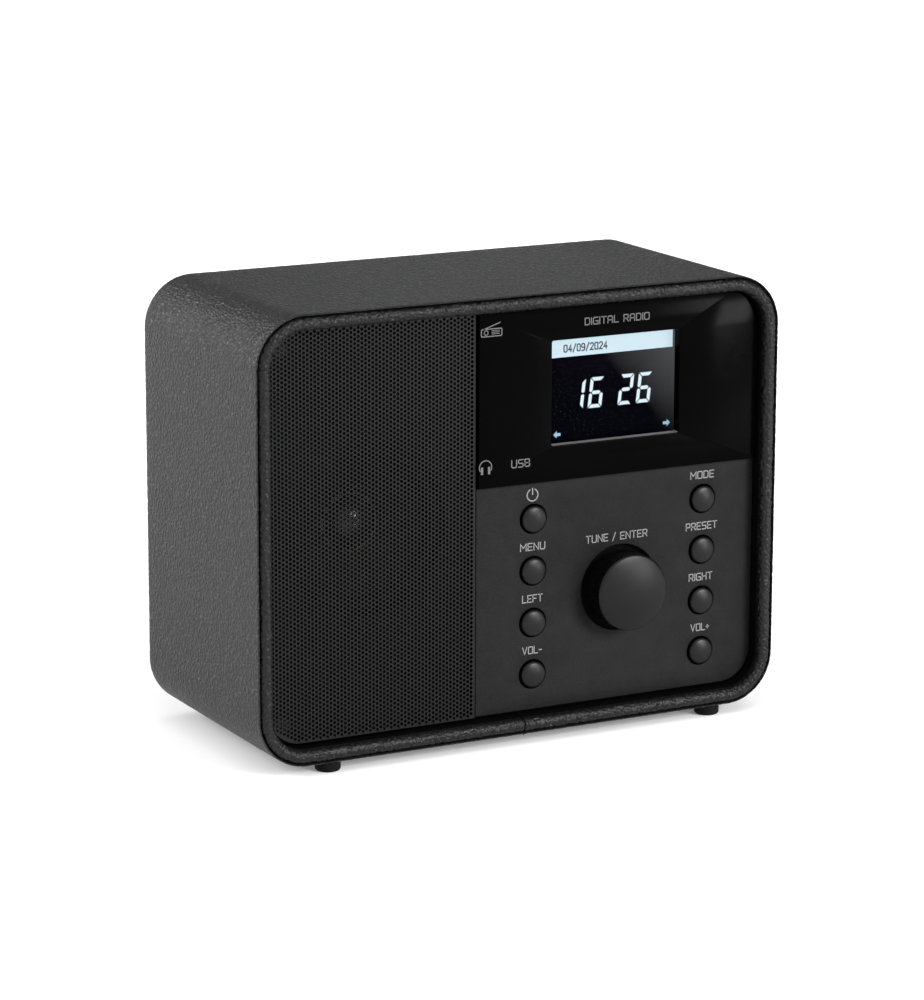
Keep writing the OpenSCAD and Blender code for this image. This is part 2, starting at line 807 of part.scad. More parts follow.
module speaker_screws() {
    color("silver") for (p = speaker_screw_points()) {
        bar(p, basket_d + basket_t, basket_d + basket_t + speaker_head_t, speaker_head_r);
        bar(p, chassis_back_d - 1.8, basket_d + basket_t + touch, screw_r - fit_gap, 24);
    }
}

module speaker_wires() {
    color("firebrick") for (i = [0, 1]) {
        x = speaker_at[0] - 1.5 + 3 * i;
        start = y_at(basket_d + 14.8);
        back = y_at(57 - 3 * i);
        low = speaker_at[1] - 40;
        wire([[x, start, speaker_at[1] - 24.9], [x, start, low], [x, back, low],
            [0, back, low], [0, back, main_top]], 0.7);
    }
}

/* Rear */

vent_x = [-70:8:-30];
rear_screw_points = concat(corner_points(),
    [for (sz = [-1, 1]) [middle_screw_x, mid_z + sz * (inner_h / 2 - corner_screw)]]);
aerial_at = [aerial_pos[0], z_at(aerial_pos[1])];

module rear_panel() {
    color([0.09, 0.09, 0.09]) difference() {
        union() {
            slab(rear_d, rear_out_d) translate([0, mid_z])
                rounded_rect(cab_w - 2 * shell_in - 0.4, cab_h - 2 * shell_in - 0.4,
                    corner_r - shell_in - 0.2);
            slab(rear_d - 6, rear_d + touch) for (sx = [-1, 1]) {
                translate([sx * 50, mid_z]) square([2, inner_h - 50], center = true);
            }
        }
        for (p = rear_screw_points) bar(p, rear_d - 7, rear_out_d + 1, screw_r + fit_gap, 24);
        for (p = rear_screw_points) bar(p, rear_out_d - 0.8, rear_out_d + 1, screw_head_r + 0.4);
        for (x = vent_x) slab(rear_d - 1, rear_out_d + 1) translate([x, z_at(55)]) {
            square([2.4, 30], center = true);
            for (s = [-15, 15]) translate([0, s]) circle(r = 1.2, $fn = 24);
        }
        bar(dc_pos, rear_d - 1, rear_out_d + 1, 3.6);
        slab(rear_d - 7, rear_out_d + 1) translate(usb_pos)
            square([usb_size[0] + 1, usb_size[1] + 1], center = true);
        bar(jack_pos, rear_d - 1, rear_out_d + 1, 3 + slip);
        bar(aerial_at, rear_d - 1, rear_out_d + 1, 3 + slip);
    }
}

module rear_screws() {
    color("silver") for (p = rear_screw_points) {
        difference() {
            bar(p, rear_out_d - 0.8, rear_out_d + 0.6, screw_head_r);
            cross_slot(p, rear_out_d + 0.6);
        }
        bar(p, rear_out_d - 11, rear_out_d - 0.8 + touch, screw_r, 24);
    }
}

/* Aerial */

// Bush through the rear panel with its nut inside
module aerial_base() {
    color("silver") difference() {
        union() {
            bar(aerial_at, rear_out_d, rear_out_d + 1.5, 7);
            bar(aerial_at, rear_d - 5, rear_out_d + touch, 3);
            bar(aerial_at, rear_d - 3, rear_d, 5, 6);
        }
        bar(aerial_at, rear_d - 3.6, rear_out_d + 3, 1.5 + fit_gap);
    }
}

// Turret that turns on the bush and holds the rod's foot between two ears
module aerial_swivel() {
    slot_w = 3.1;
    base_end_d = aerial_axis_d - 3.6;
    color([0.1, 0.1, 0.1]) {
        bar(aerial_at, rear_d - 3.5, rear_out_d + 1.6 + touch, 1.5);
        bar(aerial_at, rear_out_d + 1.55, base_end_d, swivel_r);
        intersection() {
            bar(aerial_at, base_end_d - touch, swivel_back_d, swivel_r);
            for (s = [-1, 1]) slab(base_end_d - touch, swivel_back_d)
                translate([aerial_at[0], aerial_at[1] + s * (slot_w / 2 + 1.6)])
                    square([7.4, 3.2], center = true);
        }
        translate([aerial_at[0], y_at(aerial_axis_d), aerial_at[1] - 3]) cylinder(h = 6, r = 1, $fn = 32);
    }
}

// Tube along -X from the pivot, from distance a to distance b
module aerial_tube(a, b, r, bore) {
    translate([aerial_at[0] - a, y_at(aerial_axis_d), aerial_at[1]]) rotate([0, -90, 0]) difference() {
        cylinder(h = b - a, r = r);
        if (bore > 0) translate([0, 0, 1]) cylinder(h = b - a, r = bore);
    }
}

module aerial_section_1() {
    color("silver") {
        aerial_tube(7, aerial_len, aerial_radii[0], aerial_radii[1] + fit_gap);
        difference() {
            translate([aerial_at[0], y_at(aerial_axis_d), aerial_at[1] - 1.5]) union() {
                cylinder(h = 3, r = 3.2);
                translate([-7.5, -2.2, 0]) cube([7.5, 4.4, 3]);
            }
            translate([aerial_at[0], y_at(aerial_axis_d), aerial_at[1] - 3])
                cylinder(h = 6, r = 1 + fit_gap, $fn = 32);
        }
    }
}

// Sliding section i, counted from 1; each stands a little further out than the one before
module aerial_slider(i) {
    last = len(aerial_radii) - 1;
    color("silver") aerial_tube(8.5 + 1.5 * i, aerial_len + 2.5 * i, aerial_radii[i],
        i < last ? aerial_radii[i + 1] + fit_gap : 0);
}

module aerial_section_2() { aerial_slider(1); }

module aerial_section_3() { aerial_slider(2); }

module aerial_section_4() { aerial_slider(3); }

module aerial_section_5() {
    aerial_slider(4);
    tip = aerial_len + 10;
    color("silver") aerial_tube(tip - touch, tip + 6, 2.4, 0);
}

leather_cover();
cabinet_shell();
fixing_blocks();
front_chassis();
speaker_grille();
display_panel();
display_lens();
lcd_panel();
lcd_holder();
control_panel();
button(0, 0);  // button_power
button(0, 1);  // button_menu
button(0, 2);  // button_left
button(0, 3);  // button_vol_down
button(1, 0);  // button_mode
button(1, 1);  // button_preset
button(1, 2);  // button_right
button(1, 3);  // button_vol_up
tune_knob();
encoder_shaft();
encoder_rotor();
encoder_body();
encoder_nut();
control_board();
tact_switches();
display_ribbon();
control_ribbon();
main_board();
tuner_module();
board_capacitors();
amplifier_chip();
board_posts();
dc_inlet();
usb_port();
headphone_jack();
board_screws();
speaker_gasket();
speaker_basket();
speaker_surround();
speaker_cone();
dust_cap();
voice_coil();
speaker_spider();
top_plate();
speaker_magnet();
pole_plate();
speaker_screws();
speaker_wires();
chassis_screws();
rear_panel();
rear_screws();
rubber_feet();
foot_screws();
aerial_base();
aerial_swivel();
aerial_section_1();
aerial_section_2();
aerial_section_3();
aerial_section_4();
aerial_section_5();
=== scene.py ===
"""Looks of the tabletop radio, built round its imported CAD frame. Metres; X right, Y back, Z up."""

import math

import bmesh
import bpy
from mathutils import Matrix, Vector, noise
from mathutils.geometry import delaunay_2d_cdt


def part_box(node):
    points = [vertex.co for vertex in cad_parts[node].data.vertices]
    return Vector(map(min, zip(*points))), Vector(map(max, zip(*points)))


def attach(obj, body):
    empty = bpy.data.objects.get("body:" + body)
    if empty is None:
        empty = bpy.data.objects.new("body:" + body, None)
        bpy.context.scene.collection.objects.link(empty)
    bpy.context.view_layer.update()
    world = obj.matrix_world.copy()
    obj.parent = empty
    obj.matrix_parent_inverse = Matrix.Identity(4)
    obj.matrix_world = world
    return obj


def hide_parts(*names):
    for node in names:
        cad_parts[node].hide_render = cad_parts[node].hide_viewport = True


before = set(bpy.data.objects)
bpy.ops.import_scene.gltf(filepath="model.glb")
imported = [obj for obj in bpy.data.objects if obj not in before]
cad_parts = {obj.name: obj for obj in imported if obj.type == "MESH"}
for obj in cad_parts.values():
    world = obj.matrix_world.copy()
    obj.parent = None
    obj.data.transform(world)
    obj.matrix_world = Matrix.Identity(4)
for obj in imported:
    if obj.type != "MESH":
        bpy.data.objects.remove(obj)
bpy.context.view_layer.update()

MM = 0.001
FRONT_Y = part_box("leather_cover")[0].y      # the front rim's plane
UNDER_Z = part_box("leather_cover")[0].z      # the cabinet's underside

CAB_W, CAB_H, CAB_D = 200.0, 153.0, 93.0
CORNER_R = 17.8
PANEL_BOX = (-94.2, 94.2, 6.8, 147.2)       # left, right, bottom and top of the front panels
PANEL_R = 12.0
SPLIT_Z = 87.1
PANEL_LEFT, GRILLE_RIGHT = -16.0, -16.6
GLOSS_D, MATTE_D, GRILLE_D, CHASSIS_D = 4.6, 6.6, 6.0, 9.6
COLUMNS = (6.2, 73.6)
ROWS = (74.2, 55.9, 37.6, 19.3)
KNOB = (40.5, 46.3)
DISPLAY = (37.1, 117.5, 50.3, 36.3)         # centre x, centre z, width, height
SCREEN_D = 8.9


def at(x, d, z):
    """Point in the frame, from x, depth behind the rim and height above the cabinet's underside in mm."""
    return Vector((x * MM, FRONT_Y + d * MM, UNDER_Z + z * MM))


# ---------------------------------------------------------------- materials


class Nodes:
    """A material's node tree, with the few node kinds used here."""

    def __init__(self, name):
        self.mat = bpy.data.materials.new(name)
        self.mat.use_nodes = True
        self.tree = self.mat.node_tree
        self.shader = self.tree.nodes["Principled BSDF"]
        coords = self.tree.nodes.new("ShaderNodeTexCoord")
        scale = self.tree.nodes.new("ShaderNodeMapping")
        scale.inputs["Scale"].default_value = (1000.0, 1000.0, 1000.0)
        self.link(coords.outputs["Object"], scale.inputs["Vector"])
        self.mm = scale.outputs["Vector"]

    def link(self, a, b):
        self.tree.links.new(a, b)

    def new(self, kind, **values):
        node = self.tree.nodes.new("ShaderNode" + kind)
        for key, value in values.items():
            if key in node.inputs:
                node.inputs[key].default_value = value
            else:
                setattr(node, key, value)
        return node

    def stretched(self, scale):
        node = self.new("Mapping")
        node.inputs["Scale"].default_value = scale
        self.link(self.mm, node.inputs["Vector"])
        return node.outputs["Vector"]

    def noise(self, scale, detail=4.0, rough=0.55, vector=None):
        node = self.new("TexNoise", Scale=scale, Detail=detail, Roughness=rough)
        self.link(vector or self.mm, node.inputs["Vector"])
        return node.outputs["Fac"]

    def cells(self, scale, vector):
        """Distance to the nearest edge between random cells."""
        node = self.new("TexVoronoi", feature="DISTANCE_TO_EDGE", Scale=scale, Randomness=1.0)
        self.link(vector, node.inputs["Vector"])
        return node.outputs["Distance"]

    def spread(self, value, low, high, out_low=0.0, out_high=1.0):
        node = self.new("MapRange")
        node.inputs["From Min"].default_value = low
        node.inputs["From Max"].default_value = high
        node.inputs["To Min"].default_value = out_low
        node.inputs["To Max"].default_value = out_high
        self.link(value, node.inputs["Value"])
        return node.outputs["Result"]

    def math(self, operation, a, b):
        node = self.new("Math", operation=operation)
        for socket, value in zip(node.inputs, (a, b)):
            if isinstance(value, (int, float)):
                socket.default_value = value
            else:
                self.link(value, socket)
        return node.outputs["Value"]

    def mix_colour(self, fac, a, b):
        node = self.new("Mix", data_type="RGBA")
        self.link(fac, node.inputs["Factor"])
        node.inputs[6].default_value = (*a, 1.0)
        node.inputs[7].default_value = (*b, 1.0)
        return node.outputs[2]

    def colour(self, socket):
        self.link(socket, self.shader.inputs["Base Color"])

    def roughness(self, socket):
        self.link(socket, self.shader.inputs["Roughness"])

    def bump(self, height, distance, strength=1.0):
        node = self.new("Bump", Strength=strength, Distance=distance * MM)
        self.link(height, node.inputs["Height"])
        chained = self.shader.inputs["Normal"].links
        if chained:
            self.link(chained[0].from_socket, node.inputs["Normal"])
        self.link(node.outputs["Normal"], self.shader.inputs["Normal"])

    def set(self, **values):
        for key, value in values.items():
            self.shader.inputs[key.replace("_", " ")].default_value = value


def tint(colour, gain):
    return tuple(min(1.0, c * gain) for c in colour)


def moulded(name, colour, rough, grain=6.0, depth=0.004, vary=0.18, specular=0.5, metallic=0.0):
    """Moulded, painted or plated surface: fine grain, faint mottling and uneven gloss."""
    n = Nodes(name)
    mottle = n.noise(0.08, 5.0)
    n.colour(n.mix_colour(n.spread(mottle, 0.3, 0.7), tint(colour, 1 - vary), tint(colour, 1 + vary)))
    n.roughness(n.spread(n.noise(0.6, 3.0), 0.3, 0.7, max(0.02, rough - 0.05), min(1.0, rough + 0.05)))
    n.bump(n.noise(grain, 3.0), depth)
    n.set(Metallic=metallic, Specular_IOR_Level=specular)
    return n.mat


def brushed(name, colour, rough, axis=0):
    """Turned or drawn metal: fine lines along one axis."""
    n = Nodes(name)
    scale = [6.0, 6.0, 6.0]
    scale[axis] = 0.2
    lines = n.noise(1.0, 3.0, vector=n.stretched(tuple(scale)))
    n.colour(n.mix_colour(n.spread(lines, 0.3, 0.7), tint(colour, 0.85), tint(colour, 1.1)))
    n.roughness(n.spread(lines, 0.3, 0.7, rough - 0.04, rough + 0.06))
    n.bump(lines, 0.002)
    n.set(Metallic=1.0)
    return n.mat


def leather(name, dark, pale, gloss, depth):
    """Black pebbled leatherette: raised grains between fine creases, shinier on their tops; its colour
    darkens in the creases as painted shade and pales on the grain tops as painted highlight.
    """
    n = Nodes(name)
    warp = n.new("TexNoise", Scale=0.3, Detail=2.0)
    n.link(n.mm, warp.inputs["Vector"])
    pull = n.new("VectorMath", operation="MULTIPLY_ADD")
    n.link(warp.outputs["Color"], pull.inputs[0])
    pull.inputs[1].default_value = (2.2, 2.2, 2.2)
    n.link(n.mm, pull.inputs[2])
    warped = pull.outputs["Vector"]
    turned = n.new("Mapping")
    turned.inputs["Rotation"].default_value = (0.7, 0.5, 0.6)
    turned.inputs["Scale"].default_value = (1.0, 0.5, 0.8)
    n.link(warped, turned.inputs["Vector"])
    grain = n.spread(n.cells(0.78, turned.outputs["Vector"]), 0.0, 0.42)
    broad = n.spread(n.cells(0.45, warped), 0.0, 0.3)
    lumps = n.noise(0.5, 2.0)
    height = n.math("ADD", n.math("MULTIPLY", grain, 0.6), n.math("MULTIPLY", broad, 0.35))
    height = n.math("ADD", height, n.math("MULTIPLY", lumps, 0.5))
    # Colour follows the relief: painted shade in the creases, painted highlight on the grain tops.
    n.colour(n.mix_colour(n.spread(height, 0.3, 1.3), dark, pale))
    n.roughness(n.spread(height, 0.3, 1.3, gloss + 0.2, gloss))
    n.bump(height, depth, 1.0)
    n.bump(n.noise(5.0, 4.0), 0.004, 0.4)
    n.set(Specular_IOR_Level=0.26)
    return n.mat


def wood(name, low, high):
    """Fibreboard or pine, black along its front and back edges."""
    n = Nodes(name)
    place = n.new("SeparateXYZ")
    n.link(n.mm, place.inputs["Vector"])
    fibre = n.noise(1.4, 5.0, 0.7)
    brown = n.mix_colour(n.spread(fibre, 0.3, 0.7), low, high)
    middle, bare = FRONT_Y * 1000 + CAB_D / 2, CAB_D / 2 - 22.0
    away = n.math("ABSOLUTE", n.math("SUBTRACT", place.outputs["Y"], middle), 0.0)
    # Near-black within about 22 mm of the front and back faces, with a ragged border.
    edge_reach = n.math("ADD", away, n.math("MULTIPLY", n.noise(0.5, 4.0), 3.0))
    mix = n.new("Mix", data_type="RGBA")
    n.link(n.spread(edge_reach, bare, bare + 1.5), mix.inputs["Factor"])
    n.link(brown, mix.inputs[6])
    mix.inputs[7].default_value = (0.004, 0.004, 0.004, 1.0)
    n.colour(mix.outputs[2])
    n.bump(fibre, 0.05)
    n.set(Roughness=0.8, Specular_IOR_Level=0.2)
    return n.mat


def recess_dark_with_shade():
    """Near-black for the rim's inner face and the knob's recess floor: partly the moulding's own black,
    partly painted shade in the recesses.
    """
    return moulded("recess_black_painted_shade", (0.0012, 0.0012, 0.0012), 0.7, grain=3.0, depth=0.01, specular=0.04)


def gloss_panel():
    """Piano-black moulding with faint haze and dust."""
    n = Nodes("gloss_black")
    haze = n.noise(0.03, 3.0)
    n.colour(n.mix_colour(n.spread(haze, 0.35, 0.7), (0.0005, 0.0005, 0.0006), (0.0008, 0.0008, 0.0009)))
    n.roughness(n.spread(n.noise(0.25, 4.0), 0.3, 0.7, 0.1, 0.13))
    n.bump(n.noise(0.02, 2.0), 0.01, 0.3)
    n.set(Specular_IOR_Level=0.018)
    return n.mat


def matte_panel():
    """Fine spark-eroded matte plastic."""
    n = Nodes("matte_black")
    speck = n.noise(1.8, 4.0, 0.75)
    mottle = n.noise(0.15, 4.0)
    shade = n.math("ADD", n.math("MULTIPLY", speck, 0.7), n.math("MULTIPLY", mottle, 0.3))
    n.colour(n.mix_colour(n.spread(shade, 0.35, 0.65), (0.0028, 0.0028, 0.003), (0.0088, 0.0088, 0.0092)))
    n.roughness(n.spread(speck, 0.3, 0.7, 0.48, 0.62))
    n.bump(speck, 0.14, 1.0)
    n.set(Specular_IOR_Level=0.14)
    return n.mat


def grille_paint():
    """Satin paint on perforated sheet, a little worn in patches."""
    n = Nodes("grille_paint")
    wear = n.noise(0.4, 5.0, 0.7)
    n.colour(n.mix_colour(n.spread(wear, 0.4, 0.7), (0.0022, 0.0022, 0.0024), (0.006, 0.006, 0.0062)))
    n.roughness(n.spread(n.noise(1.5, 3.0), 0.3, 0.7, 0.3, 0.44))
    n.bump(n.noise(4.0, 3.0), 0.01, 0.5)
    n.set(Specular_IOR_Level=0.22)
    return n.mat


def satin_control(name, colour):
    """Satin face of the buttons and knob."""
    n = Nodes(name)
    speck = n.noise(4.0, 4.0, 0.7)
    n.colour(n.mix_colour(n.spread(speck, 0.3, 0.7), tint(colour, 0.85), tint(colour, 1.15)))
    n.roughness(n.spread(speck, 0.3, 0.7, 0.32, 0.4))
    n.bump(speck, 0.006, 0.4)
    n.set(Specular_IOR_Level=0.21)
    return n.mat


def cap_side_shaded():
    """Dark side of the buttons and knob, with almost no reflection: painted shade on the caps' sides."""
    n = Nodes("control_side_painted_shade")
    mottle = n.spread(n.noise(0.5, 3.0), 0.3, 0.7)
    n.colour(n.mix_colour(mottle, (0.0015, 0.0015, 0.0015), (0.0025, 0.0025, 0.0025)))
    n.roughness(n.spread(n.noise(1.0, 3.0), 0.3, 0.7, 0.26, 0.32))
    n.bump(n.noise(1.0, 2.0), 0.001, 0.3)
    n.set(Specular_IOR_Level=0.03)
    return n.mat


def print_ink(name, colour):
    """Pad-printed ink."""
    n = Nodes(name)
    speck = n.noise(8.0, 3.0)
    n.colour(n.mix_colour(n.spread(speck, 0.3, 0.7), tint(colour, 0.9), tint(colour, 1.1)))
    n.roughness(n.spread(speck, 0.3, 0.7, 0.55, 0.7))
    n.bump(speck, 0.003, 0.4)
    return n.mat


def lit(name, colour, strength):
    """Part of the lit picture on the screen, with the panel's faint pixel rows."""
    n = Nodes(name)
    rows = n.spread(n.noise(1.0, 1.0, vector=n.stretched((8.0, 1.0, 8.0))), 0.3, 0.7, 0.94, 1.0)
    mix = n.new("Mix", data_type="RGBA", blend_type="MULTIPLY")
    mix.inputs["Factor"].default_value = 1.0
    mix.inputs[6].default_value = (*colour, 1.0)
    n.link(rows, mix.inputs[7])
    n.link(mix.outputs[2], n.shader.inputs["Emission Color"])
    n.set(Emission_Strength=strength, Base_Color=(0.02, 0.02, 0.02, 1.0), Roughness=0.5)
    return n.mat


def screen_dark():
    """Unlit ground of the screen: blue-black, brightening towards one corner, partly backlight leaking in
    and partly a painted sheen standing in for the window's reflection.
    """
    n = Nodes("screen_ground")
    place = n.new("SeparateXYZ")
    n.link(n.mm, place.inputs["Vector"])
    slope = n.math("ADD", place.outputs["X"], n.math("MULTIPLY", place.outputs["Z"], 0.9))
    # Brighter towards the upper right: partly backlight leaking in, partly painted sheen.
    bleed_and_painted_sheen = n.spread(n.math("ADD", slope, n.math("MULTIPLY", n.noise(0.06, 2.0), 6.0)), 156.0, 184.0)
    glow_and_painted_sheen = n.mix_colour(bleed_and_painted_sheen, (0.0002, 0.0002, 0.0014), (0.075, 0.075, 0.08))
    n.link(glow_and_painted_sheen, n.shader.inputs["Emission Color"])
    n.set(Emission_Strength=1.0, Base_Color=(0.0002, 0.0002, 0.0004, 1.0), Roughness=0.3)
    n.set(Specular_IOR_Level=0.005)
    return n.mat


def window():
    """Clear hard-coated acrylic: see-through with a weak reflection."""
    n = Nodes("window_clear")
    clear = n.new("BsdfTransparent")
    clear.inputs["Color"].default_value = (0.97, 0.98, 0.98, 1.0)
    gloss = n.new("BsdfGlossy")
    gloss.inputs["Roughness"].default_value = 0.05
    smear = n.spread(n.noise(0.05, 3.0), 0.3, 0.7, 0.0003, 0.0008)
    mix = n.new("MixShader")
    n.link(smear, mix.inputs["Fac"])
    n.link(clear.outputs["BSDF"], mix.inputs[1])
    n.link(gloss.outputs["BSDF"], mix.inputs[2])
    n.link(mix.outputs["Shader"], n.tree.nodes["Material Output"].inputs["Surface"])
    return n.mat


# ---------------------------------------------------------------- mesh building


def finish_mesh(name, bm, materials, body="radio", stands_for=(), smooth=35.0):
    """Turns a bmesh into a piece: outward normals, smooth where it is shallow, riding on its body."""
    bmesh.ops.remove_doubles(bm, verts=bm.verts, dist=1e-7)
    bmesh.ops.recalc_face_normals(bm, faces=bm.faces)
    mesh = bpy.data.meshes.new(name)
    bm.to_mesh(mesh)
    bm.free()
    for m in materials:
        mesh.materials.append(m)
    piece = bpy.data.objects.new(name, mesh)
    bpy.context.scene.collection.objects.link(piece)
    if smooth:
        mesh.shade_smooth()
        mesh.set_sharp_from_angle(angle=math.radians(smooth))
    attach(piece, body)
    if stands_for:
        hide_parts(*stands_for)


def arc(cx, cz, r, start, end, steps):
    return [(cx + r * math.cos(math.radians(start + (end - start) * i / steps)),
             cz + r * math.sin(math.radians(start + (end - start) * i / steps))) for i in range(steps + 1)]


def circle_loop(cx, cz, r, steps=64):
    """Hole outline that grows with the inset."""
    return lambda inset: arc(cx, cz, r + inset, 0, 360, steps)[:-1]


def corner_loop(corners, steps=14):
    """Outer outline from (x, z, radius) corners in turn, each moved in by the inset; axis-aligned sides."""
    def loop(inset):
        mid_x = sum(c[0] for c in corners) / len(corners)
        mid_z = sum(c[1] for c in corners) / len(corners)
        points = []
        for x, z, r in corners:
            sx, sz = (1 if x > mid_x else -1), (1 if z > mid_z else -1)
            radius = max(r - inset, 0.02)
            reach = r if r > inset else inset + radius
            cx, cz = x - sx * reach, z - sz * reach
            start = {(1, 1): 0, (-1, 1): 90, (-1, -1): 180, (1, -1): 270}[(sx, sz)]
            points += arc(cx, cz, radius, start, start + 90, steps)
        return points
    return loop


def rect_hole(cx, cz, w, h, r=0.6, steps=5):
    """Rectangular hole outline that grows with the inset."""
    def loop(inset):
        x, z, radius = w / 2 + inset, h / 2 + inset, r + inset
        points = []
        for sx, sz, start in ((1, 1, 0), (-1, 1, 90), (-1, -1, 180), (1, -1, 270)):
            points += arc(cx + sx * (x - radius), cz + sz * (z - radius), radius, start, start + 90, steps)
        return points
    return loop


def add_plate(bm, loops, profile, material=0, side_material=None):
    """Plate between outlines, each a function of the inset; profile lists (inset, depth) front to back."""
    rings = []
    for inset, depth in profile:
        rings.append([[bm.verts.new(at(x, depth, z)) for x, z in loop(inset)] for loop in loops])
    for a, b in zip(rings, rings[1:]):
        for loop_no, (la, lb) in enumerate(zip(a, b)):
            count = len(la)
            for i in range(count):
                j = (i + 1) % count
                face = bm.faces.new((la[i], la[j], lb[j], lb[i]))
                face.material_index = material
                if side_material:
                    face.material_index = side_material(loop_no, face.calc_center_median())
    for ring in (rings[0], rings[-1]):
        flat = [v for loop in ring for v in loop]
        points = [Vector((v.co.x, v.co.z)) * 1000 for v in flat]
        outlines, start = [], 0
        for loop in ring:
            outlines.append(list(range(start, start + len(loop))))
            start += len(loop)
        _, _, faces, origin, _, owners = delaunay_2d_cdt(points, [], outlines, 1, 1e-6, True)
        for face, owner in zip(faces, owners):
            if owner and all(o == 0 for o in owner):
                corners = [flat[origin[i][0]] for i in face]
                if len(set(corners)) == 3:
                    bm.faces.new(corners).material_index = material


def rounding(edge, front, back, steps=4):
    """Profile of a plate whose front edge is rounded by edge millimetres."""
    points = [(edge * (1 - math.sin(math.radians(90 * i / steps))),
               front + edge * (1 - math.cos(math.radians(90 * i / steps)))) for i in range(steps + 1)]
    points.append((0.0, back))
    return points


def add_turned(bm, centre, profile, steps=96, materials=None):
    """Turned solid along the depth: profile lists (radius, depth), starting and ending on the axis."""
    rings = []
    for r, d in profile:
        if r < 1e-6:
            rings.append([bm.verts.new(at(centre[0], d, centre[1]))])
        else:
            rings.append([bm.verts.new(at(x, d, z)) for x, z in circle_loop(*centre, r, steps)(0)])
    for k, (a, b) in enumerate(zip(rings, rings[1:])):
        for i in range(steps):
            j = (i + 1) % steps
            corners = [a[i % len(a)], a[j % len(a)], b[j % len(b)], b[i % len(b)]]
            unique = list(dict.fromkeys(corners))
            if len(unique) > 2:
                face = bm.faces.new(unique)
                face.material_index = materials[k] if materials else 0


# ---------------------------------------------------------------- leather cover


def outline_stations(step):
    """Points round the cabinet's outline from the bottom centre: (x, z, outward x, outward z, distance)."""
    half_w, half_h, r = CAB_W / 2, CAB_H / 2, CORNER_R
    flat_w, flat_h = CAB_W - 2 * r, CAB_H - 2 * r
    sides = [(0.0, -half_h, 1, 0, flat_w / 2, 0, -1), (half_w, -half_h + r, 0, 1, flat_h, 1, 0),
             (half_w - r, half_h, -1, 0, flat_w, 0, 1), (-half_w, half_h - r, 0, -1, flat_h, -1, 0),
             (-half_w + r, -half_h, 1, 0, flat_w / 2, 0, -1)]
    stations, run = [], 0.0
    for k, (x, z, dx, dz, length, nx, nz) in enumerate(sides):
        count = max(2, round(length / step))
        for i in range(count):
            t = length * i / count
            stations.append((x + dx * t, z + dz * t, nx, nz, run + t))
        run += length
        if k < 4:
            cx, cz = x + dx * length - nx * r, z + dz * length - nz * r
            start = math.degrees(math.atan2(nz, nx))
            count = max(8, round(r * math.pi / 2 / step))
            for i in range(count):
                a = math.radians(start + 90 * i / count)
                stations.append((cx + r * math.cos(a), cz + r * math.sin(a), math.cos(a), math.sin(a),
                                 run + r * math.radians(90) * i / count))
            run += r * math.pi / 2
    return stations, run


def crease_depth(point):
    """Relief of the leather stretched over the bead: raised pebbles with sunk creases between them."""
    near = noise.voronoi(point * 0.52, distance_metric="DISTANCE")[0]
    gap = min(1.0, (near[1] - near[0]) / 0.22)
    return -0.42 * (1 - gap) ** 2 + 0.1 * noise.noise(point * 0.4) + 0.03 * noise.noise(point * 1.3)


def leather_profile():
    """Cross-section of the cover: (inset, depth, relief weight), once round the closed strip."""
    points = [(5.5, 92.4, 0), (5.5, 93.0, 0), (3.5, 93.0, 0.3), (1.6, 93.0, 0.3)]
    points += [(1.6 - 1.6 * math.sin(math.radians(a)), 91.4 + 1.6 * math.cos(math.radians(a)), 0.2)
               for a in (22, 45, 68, 90)]
    points += [(0.0, 85.0 - 9.0 * i, 0.15) for i in range(10)]
    points += [(0.0, 2.0, 0.2), (0.02, 1.5, 0.2), (0.1, 1.15, 0.3), (0.25, 0.95, 0.4), (0.42, 0.98, 0.4)]
    points += [(0.56, 1.25, 0.2), (0.64, 1.8, 0.0), (0.7, 3.0, 0.0)]
    bead = 2.3
    for i in range(-2, 19):
        a = math.radians(180 * i / 18)
        points.append((0.9 + bead - bead * math.cos(a), bead - bead * math.sin(a), 1.0))
    points += [(5.5, 3.4, 0.4), (5.5, 5.0, 0.2), (5.5, 7.0, 0.1), (5.5, 9.4, 0)]
    points += [(5.0, 9.4, 0), (5.0, 3.5, 0), (0.6, 3.5, 0), (0.6, 90.0, 0), (1.6, 92.4, 0)]
    return points


